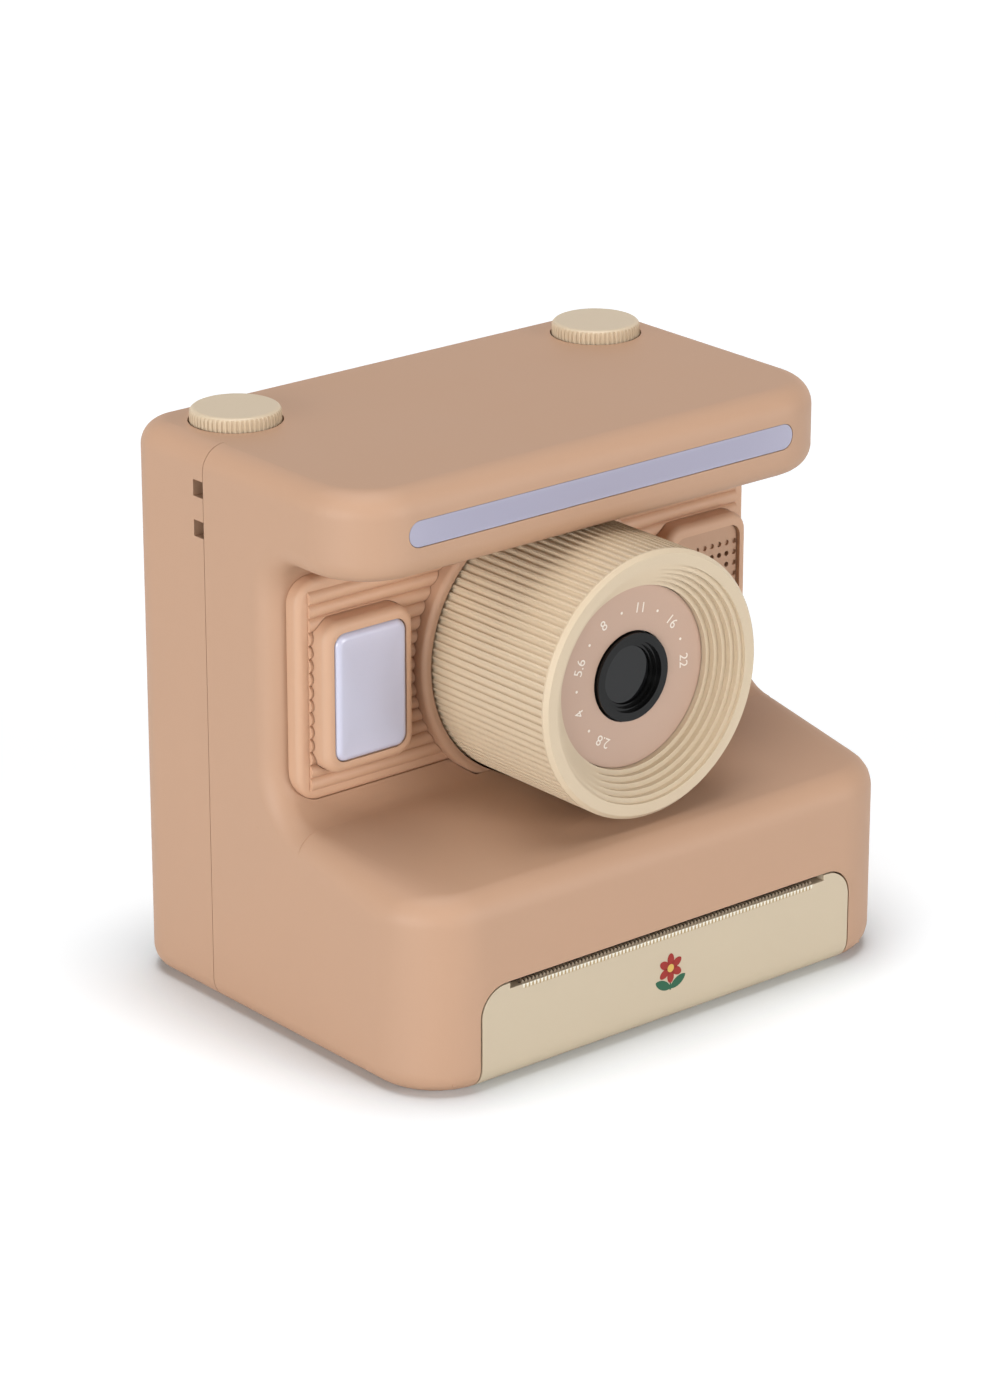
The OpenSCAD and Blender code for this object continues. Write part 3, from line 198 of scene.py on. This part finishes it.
class Finish(Nodes):
    """A material with one shader, whose patterns lie on the object's own coordinates."""

    def __init__(self, name):
        self.material = bpy.data.materials.new(name)
        super().__init__(self.material)
        self.shader = self.tree.nodes["Principled BSDF"]

    def set(self, **inputs):
        for key, value in inputs.items():
            self.fill(self.shader.inputs[key.replace("_", " ")], value)

    def noise(self, where, scale, detail, roughness=0.5):
        inputs = {"Vector": where, "Scale": scale, "Detail": detail, "Roughness": roughness}
        return self.node("ShaderNodeTexNoise", inputs=inputs)

    def mix(self, factor, first, second):
        """Colour between a first and a second one."""
        inputs = {MIX_FACTOR: factor, MIX_FIRST: first, MIX_SECOND: second}
        return self.node("ShaderNodeMix", {"data_type": "RGBA"}, inputs, MIX_COLOUR)

    def bump(self, height, strength, distance):
        inputs = {"Height": height, "Strength": strength, "Distance": distance}
        return self.node("ShaderNodeBump", inputs=inputs)


print("node maker ready")

# %% [markdown]
# Colours are written as a screen shows them, from 0 to 255. A shader calculates with amounts of light, so
# each is taken through the display's curve first.

# %% Colours
def linear(r, g, b):
    """A colour written in display values, as the shader wants it."""
    shares = [c / 255 for c in (r, g, b)]
    return tuple(c / 12.92 if c <= 0.04045 else ((c + 0.055) / 1.055) ** 2.4 for c in shares) + (1,)


def tone(colour, factor):
    """A colour made deeper or paler by a factor."""
    return tuple(min(1, c * factor) for c in colour[:3]) + (1,)


def grey(amount):
    return (amount, amount, amount, 1)


print("middle grey is", round(linear(128, 128, 128)[0], 3), "of white")

# %% [markdown]
# ## Moulded plastic
# The shells are soft-touch plastic: one colour, a silky sheen and a very fine grain from the mould. Two
# noises do it. A wide one shifts the colour and the gloss a little, as hands and light do, and a fine one
# gives the grain as bump. Grain finer than the picture's pixels only costs time, so it stays near 0.3 mm.
# The tear bar's teeth are too fine for a shadow of their own, so painted shade darkens its plastic in
# their valleys.

# %% Plastic finishes
CLOUD_SCALE, GRAIN_SCALE = 38, 2600
COLOUR_SHIFT, GLOSS_SWING = 0.02, 0.12
GRAIN_STRENGTH, GRAIN_DEPTH = 0.35, 0.02 * MM
PITCH, VALLEY_CURVE = 0.7, 1.5


def moulded(name, colour, roughness=0.45):
    finish = Finish(name)
    where = finish.where()
    cloud = finish.noise(where, CLOUD_SCALE, detail=3)
    fine = finish.noise(where, GRAIN_SCALE, detail=1)
    finish.set(
        Base_Color=finish.mix(cloud, tone(colour, 1 - COLOUR_SHIFT), tone(colour, 1 + COLOUR_SHIFT)),
        Roughness=cloud * GLOSS_SWING + (roughness - GLOSS_SWING / 2),
        Normal=finish.bump(fine, GRAIN_STRENGTH, GRAIN_DEPTH),
    )
    return finish


def toothed(name, tip, valley_shade):
    """Plastic with painted shade in the valleys of a row of teeth along x."""
    finish = moulded(name, tip)
    x, _, _ = finish.parts(finish.where())
    # Painted shade: it deepens from each tooth's tip towards the valley beside it
    wave = (x / (PITCH * MM) % 1.0 - 0.5).size() * 2.0
    depth = wave ** VALLEY_CURVE
    finish.set(Base_Color=finish.mix(depth, tip, valley_shade))
    return finish


blush = moulded("blush_plastic", linear(181, 144, 117), roughness=0.56)
# A lighter copy of the blush plastic: painted light on the panel and its bezels, which are the same
# plastic as the shells
blush_lit_copy = moulded("blush_lit_copy", linear(197, 157, 128), roughness=0.56)
plate = moulded("plate_plastic", linear(186, 156, 137), roughness=0.42)
cream = moulded("cream_plastic", linear(193, 177, 152), roughness=0.48)
# A lighter copy of the cream plastic: painted light on the ribbed barrel and the two buttons, which are
# the same plastic as the door
cream_lit_copy = moulded("cream_lit_copy", linear(202, 183, 156))
dark = moulded("dark_plastic", linear(52, 52, 54), roughness=0.5)
white = moulded("white_plastic", linear(238, 236, 231))
tube = moulded("tube_plastic", linear(184, 154, 134), roughness=0.5)
teeth = toothed("tear_teeth", linear(150, 134, 112), linear(84, 66, 50))
plastics = (blush, blush_lit_copy, plate, cream, cream_lit_copy, dark, white, tube, teeth)
print("plastics", [finish.material.name for finish in plastics])

# %% [markdown]
# ## Milky windows
# The flash and the light strip are milky plastic with a cool tint. Painted light pales them towards the
# rim, where the plastic is thin. Their shares across and up the window grow from 0 in the middle to 1 at
# the edge, and the larger one, raised to a high power, marks the rim.

# %% Windows
MILK_SCALE, MILK_SWING, MILK_ROUGHNESS = 60, 0.04, 0.22
MILK_COAT, MILK_COAT_ROUGHNESS = 0.4, 0.12
RIM_CURVE, RIM_SHARE = 6, 0.75
STRIP_HALF_HEIGHT = 2.0 * MM


def milky(name, colour, edge, node, half_height=None):
    """Milky plastic with painted light that pales it towards the edges of a window."""
    finish = Finish(name)
    low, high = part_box(node)
    where = finish.where()
    x, _, z = finish.parts(where)
    across = (x - (high[0] + low[0]) / 2) / ((high[0] - low[0]) / 2)
    up = (z - (high[2] + low[2]) / 2) / (half_height or (high[2] - low[2]) / 2)
    # Painted light: this share pales the colour towards the rim
    rim = across.size().high(up.size()) ** RIM_CURVE
    cloud = finish.noise(where, MILK_SCALE, detail=2)
    finish.set(
        Base_Color=finish.mix(rim * RIM_SHARE + cloud * MILK_SWING, colour, edge),
        Roughness=cloud * MILK_SWING + MILK_ROUGHNESS,
        Coat_Weight=MILK_COAT,
        Coat_Roughness=MILK_COAT_ROUGHNESS,
    )
    return finish


flash_milk = milky("flash_milk", linear(184, 183, 200), linear(206, 206, 225), "flash_diffuser")
strip_milk = milky("strip_milk", linear(156, 153, 173), linear(168, 165, 184), "light_strip",
                   STRIP_HALF_HEIGHT)
print("windows", flash_milk.material.name, strip_milk.material.name)

# %% [markdown]
# ## Glass and black gloss
# The lens has a polished black bezel and a coated glass, and the screen on the rear is a dark window. None
# of them shows grain, so only a faint smear varies their gloss.

# %% Glass and gloss
SMEAR_SCALE, SMEAR_TONE, SMEAR_SWING = 220, 1.25, 0.1


def polished(name, colour, roughness):
    finish = Finish(name)
    smear = finish.noise(finish.where(), SMEAR_SCALE, detail=2)
    finish.set(
        Base_Color=finish.mix(smear, colour, tone(colour, SMEAR_TONE)),
        Roughness=smear * SMEAR_SWING + roughness,
    )
    return finish


black = polished("black_gloss", grey(0.005), roughness=0.1)
black.set(Specular_IOR_Level=0.25)
screen = polished("screen_black", (0.010, 0.011, 0.014, 1), roughness=0.06)
glass = polished("lens_glass", (0.004, 0.004, 0.0045, 1), roughness=0.05)
glass.set(Coat_Weight=0.1, Specular_IOR_Level=0.35)
print("gloss", [finish.material.name for finish in (black, screen, glass)])

# %% [markdown]
# ## The works
# Behind the door are steel, brass, rubber, paper and boards. They are seen when the door is open, so each
# gets the mark of how it was made. Metal has drawn streaks: a noise that is squeezed along one direction.

# %% Metals
STREAK_TONE, STREAK_SWING = 0.85, 0.2
STREAK_STRENGTH, STREAK_DEPTH = 0.1, 0.01 * MM


def metal(name, colour, roughness, streak=(40, 900, 900)):
    finish = Finish(name)
    drawn = finish.node("ShaderNodeMapping", inputs={"Vector": finish.where(), "Scale": streak})
    lines = finish.noise(drawn, scale=1.0, detail=3)
    finish.set(
        Base_Color=finish.mix(lines, tone(colour, STREAK_TONE), colour),
        Metallic=1.0,
        Roughness=lines * STREAK_SWING + (roughness - STREAK_SWING / 2),
        Normal=finish.bump(lines, STREAK_STRENGTH, STREAK_DEPTH),
    )
    return finish


steel = metal("steel", linear(188, 188, 192), roughness=0.35)
brass = metal("brass", linear(206, 170, 98), roughness=0.3)
foil = metal("foil", linear(196, 198, 204), roughness=0.4, streak=(60, 60, 700))
print("metals", [finish.material.name for finish in (steel, brass, foil)])

# %% [markdown]
# Rubber is ground, paper and card have faint fibres, and ink lies a little uneven. One matte finish with
# specks serves them all. A board has a dark resist over its tracks: square cells whose distance is cut
# into bands.

# %% Rubber, paper, inks and boards
SPECK_SWING, SPECK_STRENGTH, MATTE_SHEEN = 0.1, 0.3, 0.25
INK_DEPTH = 0.01 * MM
CELL_SCALE, TRACK_BANDS, TRACK_SHARE = 260.0, 3, 0.3
RESIST_ROUGHNESS, TRACK_SWING = 0.35, 0.1


def matte(name, colour, scale, spread=0.12, roughness=0.85, depth=0.03 * MM):
    finish = Finish(name)
    speck = finish.noise(finish.where(), scale, detail=4, roughness=0.6)
    finish.set(
        Base_Color=finish.mix(speck, tone(colour, 1 - spread), colour),
        Roughness=speck * SPECK_SWING + (roughness - SPECK_SWING / 2),
        Normal=finish.bump(speck, SPECK_STRENGTH, depth),
        Specular_IOR_Level=MATTE_SHEEN,
    )
    return finish


def ink(name, colour, spread, roughness=0.55, scale=1500):
    return matte(name, colour, scale, spread, roughness, INK_DEPTH)


def board(name):
    finish = Finish(name)
    cells = finish.node("ShaderNodeTexVoronoi", {"distance": "MANHATTAN", "feature": "F1"},
                        {"Vector": finish.where(), "Scale": CELL_SCALE})
    tracks = (cells * TRACK_BANDS % 1.0) < TRACK_SHARE
    finish.set(
        Base_Color=finish.mix(tracks, linear(28, 92, 58), linear(48, 122, 78)),
        Roughness=RESIST_ROUGHNESS + tracks * TRACK_SWING,
    )
    return finish


rubber = matte("black_rubber", linear(38, 38, 40), scale=1400)
paper = matte("paper", linear(244, 243, 240), scale=900, spread=0.04)
card = matte("card", linear(178, 150, 116), scale=700)
resist = board("circuit_board")
print("works", [finish.material.name for finish in (rubber, paper, card, resist)])

# %% [markdown]
# ## Dressing the solids
# Each solid takes the finish of its piece by assigning to its material slots.

# %% Finish for every solid
finish_of = {}
for finish, names in {
    blush: "rear_shell front_shell lens_collar speaker_grille",
    blush_lit_copy: "front_panel flash_bezel speaker_bezel",
    tube: "lens_tube",
    cream_lit_copy: "lens_barrel shutter_button print_button",
    cream: "key_up key_down key_left key_right key_ok paper_door",
    plate: "lens_face_plate",
    black: "lens_bezel camera_module",
    glass: "lens_glass",
    flash_milk: "flash_diffuser",
    strip_milk: "light_strip",
    screen: "screen_window screen_panel",
    resist: "flash_board light_board switch_boards main_board",
    dark: "speaker_driver button_switches key_switches printer_frame",
    foil: "battery",
    steel: "usb_socket card_socket case_screws door_hinge_pins platen_shaft idler_axle "
           "drive_motor motor_plate head_bracket",
    teeth: "tear_bar",
    white: "platen_gear idler_gear thermal_head",
    rubber: "platen_roller",
    brass: "motor_pinion",
    paper: "paper_roll paper_strip",
    card: "roll_core",
}.items():
    for name in names.split():
        finish_of[name] = finish
        nodes[name].data.materials.clear()
        nodes[name].data.materials.append(finish.material)
print("dressed", len(finish_of), "of", len(nodes), "solids; left:", sorted(set(nodes) - set(finish_of)))

# %% [markdown]
# ## Smooth shells
# The solids that show keep their shape, but their meshes are loose triangles with flat shading. For those
# we make a copy, merge its corners, and shade it smooth between edges that are really sharp, so fillets
# run on without facets. The record says which body a copy belongs to, and the copy takes its solid's
# finish.

# %% New pieces
body_of = {}
for body, members in frame["record"]["behaviour"]["bodies"].items():
    body_of.update(dict.fromkeys(members, body))


def mesh_of(name, shape):
    """Turns a finished bmesh into a mesh and frees it."""
    mesh = bpy.data.meshes.new(name)
    shape.to_mesh(mesh)
    shape.free()
    return mesh


def new_piece(name, mesh, node, finish):
    """A piece that moves with a solid's body and wears a finish."""
    piece = into_scene(name, mesh)
    mesh.materials.append(finish.material)
    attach(piece, body_of[node])
    return piece


# %% Smooth copies of the solids that show
SAME_POINT, SLIVER = 2e-6, 1e-7
SHARP = math.radians(32)


def smooth_copy(node):
    """A copy of a solid with merged corners, smooth between edges sharper than an angle."""
    shape = bmesh.new()
    shape.from_mesh(nodes[node].data)
    bmesh.ops.remove_doubles(shape, verts=shape.verts, dist=SAME_POINT)
    bmesh.ops.dissolve_degenerate(shape, edges=shape.edges, dist=SLIVER)
    for face in shape.faces:
        face.smooth = True
    for edge in shape.edges:
        edge.smooth = len(edge.link_faces) == 2 and edge.calc_face_angle(0) < SHARP
    name = node + "_smooth"
    piece = new_piece(name, mesh_of(name, shape), node, finish_of[node])
    weigh = piece.modifiers.new("weighted", "WEIGHTED_NORMAL")
    weigh.keep_sharp = True
    weigh.weight = 100
    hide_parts(node)


SHOWN = ("rear_shell front_shell front_panel lens_collar lens_barrel lens_face_plate lens_bezel "
         "lens_glass flash_bezel flash_diffuser speaker_bezel speaker_grille light_strip "
         "shutter_button print_button paper_door key_up key_down key_left key_right key_ok "
         "screen_window").split()
for node in SHOWN:
    smooth_copy(node)
print("smooth copies of", len(SHOWN), "solids")

# %% [markdown]
# The coat of the photographed camera bridges the seam of its shells on the top, and the seam shows only
# down the sides. A film of the same coat, a few thousandths of a millimetre thick, does that here.

# %% Film over the seam on the top
FILM_HALF_X, FILM_HALF_Y, FILM_T = 44 * MM, 0.15 * MM, 0.004 * MM
GROOVE_MIDDLE = 0.06 * MM
shell_low, shell_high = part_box("rear_shell")
film = bmesh.new()
bmesh.ops.create_grid(film, x_segments=1, y_segments=1, size=1)
film.transform(Matrix.Translation((0, shell_low[1] + GROOVE_MIDDLE, shell_high[2] + FILM_T))
               @ Matrix.Diagonal((FILM_HALF_X, FILM_HALF_Y, 1, 1)))
new_piece("seam_film", mesh_of("seam_film", film), "rear_shell", blush)
print("seam bridged on the top, at", round(shell_high[2] / MM, 1), "mm")

# %% [markdown]
# ## A scale on the face plate
# The face round the lens carries a printed scale of plain aperture numbers. Each is a text curve turned
# into a mesh, stood up to face forward and then turned about the lens axis to its place on the dial, with
# a dot between neighbours. The print lies a hundredth of a millimetre above the plate.

# %% Numbers on the dial
PRINT_T = 0.01 * MM
FACE_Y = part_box("lens_face_plate")[0][1]
LENS_Z = sum(corner[2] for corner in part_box("lens_barrel")) / 2
DIAL_R, NUMBER_HEIGHT = 10.6 * MM, 2.3 * MM
DOT_R, DOT_SIDES = 0.22 * MM, 16
DIAL_START, DIAL_STEP = -150, 40
STOPS = ("2.8", "4", "5.6", "8", "11", "16", "22")
pale_ink = ink("pale_ink", linear(232, 222, 210), spread=0.05, roughness=0.6, scale=1200)


def upright(x, y, z):
    """Stands an outline drawn in x and y up to face forward, at a place."""
    return Matrix.Translation((x, y, z)) @ Matrix.Rotation(math.radians(90), 4, "X")


def dial_place(steps):
    """Stands an outline on the dial, some steps after its start."""
    turn = Matrix.Rotation(math.radians(DIAL_START + DIAL_STEP * steps), 4, "Y")
    return Matrix.Translation((0, FACE_Y - PRINT_T, LENS_Z)) @ turn @ upright(0, 0, DIAL_R)


def number(text, steps):
    name = "number_" + text.replace(".", "_")
    curve = bpy.data.curves.new(name, "FONT")
    curve.body = text
    curve.size = NUMBER_HEIGHT
    curve.align_x = "CENTER"
    curve.align_y = "CENTER"
    holder = bpy.data.objects.new(name, curve)
    mesh = bpy.data.meshes.new_from_object(holder)
    bpy.data.objects.remove(holder)
    mesh.transform(dial_place(steps))
    new_piece(name, mesh, "lens_face_plate", pale_ink)


def dot(name, steps):
    shape = bmesh.new()
    bmesh.ops.create_circle(shape, cap_ends=True, segments=DOT_SIDES, radius=DOT_R)
    shape.transform(dial_place(steps))
    new_piece(name, mesh_of(name, shape), "lens_face_plate", pale_ink)


for place, stop in enumerate(STOPS):
    number(stop, place)
    if place + 1 < len(STOPS):
        dot("dial_dot_%d" % place, place + 0.5)
print("dial with", len(STOPS), "numbers")

# %% [markdown]
# ## A small print on the door
# The door carries a plain flower: petals are ovals turned about one middle, the leaves are pointed ovals,
# and the stalk is a thin strip. Each is a flat outline in millimetres, lifted off the door by the layers
# of print below it.

# %% Outlines on the door
DOOR_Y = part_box("paper_door")[0][1]


def printed(name, outline, turn, z, finish, layer):
    """A flat outline, turned, set down on the middle of the door and lifted by its layer of print."""
    shape = bmesh.new()
    shape.faces.new([shape.verts.new((a * MM, b * MM, 0)) for a, b in outline])
    spin = Matrix.Rotation(math.radians(turn), 4, "Z")
    shape.transform(upright(0, DOOR_Y - layer * PRINT_T, z * MM) @ spin)
    new_piece(name, mesh_of(name, shape), "paper_door", finish)


def oval(long, wide, tip=1.0, start=0.0, count=28):
    """An oval that grows upwards from a start; a tip over 1 makes its ends pointed."""
    ring = []
    for i in range(count):
        a = 2 * math.pi * i / count
        across = wide / 2 * math.sin(a) * abs(math.sin(a)) ** (tip - 1)
        ring.append((across, start + long / 2 * (1 - math.cos(a))))
    return ring[::-1]


print("door front at", round(DOOR_Y / MM, 2), "mm")

# %% Flower on the door
FLOWER_Z, STALK, STALK_FOOT, STALK_TOP = 9.6, 3.6, 0.17, 0.13
LEAF, LEAF_WIDE, LEAF_TIP, LEAF_TURN, LEAF_DROP = 3.4, 1.5, 1.4, 62, 3.3
PETALS, PETAL, PETAL_WIDE, PETAL_TIP, PETAL_START = 6, 2.1, 1.35, 1.1, 0.35
MIDDLE = 1.3
red = ink("red_ink", linear(158, 48, 42), spread=0.25)
green = ink("green_ink", linear(44, 96, 70), spread=0.25)
straw = ink("straw_ink", linear(214, 176, 92), spread=0.15)
stalk = [(-STALK_FOOT, -STALK), (STALK_FOOT, -STALK), (STALK_TOP, 0), (-STALK_TOP, 0)]
leaf = oval(LEAF, LEAF_WIDE, LEAF_TIP)
petal = oval(PETAL, PETAL_WIDE, PETAL_TIP, PETAL_START)
printed("stalk", stalk, 0, FLOWER_Z, green, 1)
for side in (-1, 1):
    printed("leaf_%d" % side, leaf, side * LEAF_TURN, FLOWER_Z - LEAF_DROP, green, 2)
for place in range(PETALS):
    printed("petal_%d" % place, petal, place * 360 / PETALS, FLOWER_Z, red, 3)
printed("middle", oval(MIDDLE, MIDDLE, start=-MIDDLE / 2), 0, FLOWER_Z, straw, 4)
print("flower with", PETALS, "petals")

# %% [markdown]
# Pale teeth hang from the slot over the door's edge, with a small painted shade between neighbours. They
# are flat strokes at the pitch of the tear bar, all pale ones in one mesh and all painted shades in
# another.

# %% Teeth on the door's edge
bar_low, bar_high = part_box("tear_bar")
EDGE_Z = bar_low[2]
TEETH = round((bar_high[0] - bar_low[0]) / MM / PITCH)
# Painted shade between the teeth
shade = ink("painted_notch_shade", linear(176, 148, 104), spread=0.15, roughness=0.6)
enamel = ink("tooth_white", linear(232, 226, 212), spread=0.04, roughness=0.5)


def strokes(name, finish, layer, start, count, wide, narrow, top, foot):
    """A row of strokes in millimetres under the slot, wide at the top and narrow at the foot."""
    row = bmesh.new()
    y = DOOR_Y - layer * PRINT_T
    for i in range(count):
        x = (start + i - TEETH / 2) * PITCH
        corners = ((x - narrow, foot), (x + narrow, foot), (x + wide, top), (x - wide, top))
        row.faces.new([row.verts.new((a * MM, y, EDGE_Z - b * MM)) for a, b in corners])
    new_piece(name, mesh_of(name, row), "paper_door", finish)


strokes("edge_painted_shades", shade, 1, start=1, count=TEETH - 1, wide=0.2, narrow=0.1, top=0.03, foot=0.75)
strokes("edge_teeth", enamel, 2, start=0.5, count=TEETH, wide=0.27, narrow=0.12, top=0.0, foot=0.6)
print("strokes under", TEETH, "teeth")

# %% [markdown]
# ## The floor
# The photograph stands on pure white with a soft shadow under the camera. The floor is white and lit, and
# adds some of its own white only where the camera sees it, straight or in a mirror. It adds more far away,
# where the lamps reach less, and less and less towards the base, which paints a darker contact shadow
# there.

# %% Floor
FLOOR_HALF = 6
FLOOR_COLOUR, FLOOR_ROUGHNESS = (0.825, 0.86, 0.885, 1), 0.9
NEAR_GLOW, FAR_GLOW = (0.34, 0.33, 0.325, 1), (0.62, 0.61, 0.6, 1)
NEAR_R, FAR_R, SHADOW_REACH = 0.2, 1.2, 0.02
ground = bmesh.new()
bmesh.ops.create_grid(ground, x_segments=1, y_segments=1, size=FLOOR_HALF)
floor = into_scene("floor", mesh_of("floor", ground))
pale = Finish("floor_white")
across, along, _ = pale.parts(pale.where())
far = pale.step((across * across + along * along) ** 0.5, NEAR_R, FAR_R)
openness = pale.node("ShaderNodeAmbientOcclusion", inputs={"Distance": SHADOW_REACH}, output="AO")
# Open floor counts 1, and floor that is half hidden 0, so the glow fades into a painted contact shadow
# beside the base
clear = (openness - 0.5) * 2.0
shine = pale.mix(clear, grey(0), pale.mix(far, NEAR_GLOW, FAR_GLOW))
glow = pale.node("ShaderNodeEmission", inputs={"Color": shine, "Strength": pale.seen()})
pale.set(Base_Color=FLOOR_COLOUR, Roughness=FLOOR_ROUGHNESS, Specular_IOR_Level=0.0)
lit = Value(pale, pale.shader.outputs[0])
both = pale.node("ShaderNodeAddShader", inputs={0: lit, 1: glow})
pale.fill(pale.tree.nodes["Material Output"].inputs["Surface"], both)
floor.data.materials.append(pale.material)
print("floor laid,", 2 * FLOOR_HALF, "m wide")

# %% [markdown]
# ## The light
# Low soft lamps from the left and the front light the upright faces, and one overhead lights the floor.
# All stand far off, or the top, which is nearer to the upper ones, would be too bright. The world is white
# to the camera and in mirrors. As a light it is dim, and brighter near the horizon than overhead.

# %% Lamps and world
AIM = Vector((0, 0, 0.04))
HAZE_TOP, HORIZON, ZENITH = 0.7, 0.4, 0.03


def lamp(name, place, size, power):
    light = bpy.data.lights.new(name, "AREA")
    light.shape = "DISK"
    light.size = size
    light.energy = power
    holder = into_scene(name, light)
    holder.location = place
    holder.rotation_euler = facing(AIM - Vector(place))


lamp("left", place=(-2.6, -0.2, 0.3), size=1.4, power=44)
lamp("left_front", place=(-2.2, -1.3, 0.3), size=1.4, power=25)
lamp("front", place=(0.75, -2.4, 0.6), size=1.3, power=33.5)
lamp("over", place=(0, 0.1, 2.6), size=1.8, power=44)
world = bpy.data.worlds.new("white_room")
bpy.context.scene.world = world
sky = Nodes(world)
_, _, height = sky.parts(sky.where("Generated"))
light_level = sky.step(height, 0.0, HAZE_TOP, HORIZON, ZENITH)
background = sky.tree.nodes["Background"].inputs
background["Color"].default_value = grey(1)
sky.fill(background["Strength"], sky.seen().high(light_level))
bpy.context.scene.view_settings.view_transform = "Standard"
print("lamps and world set")
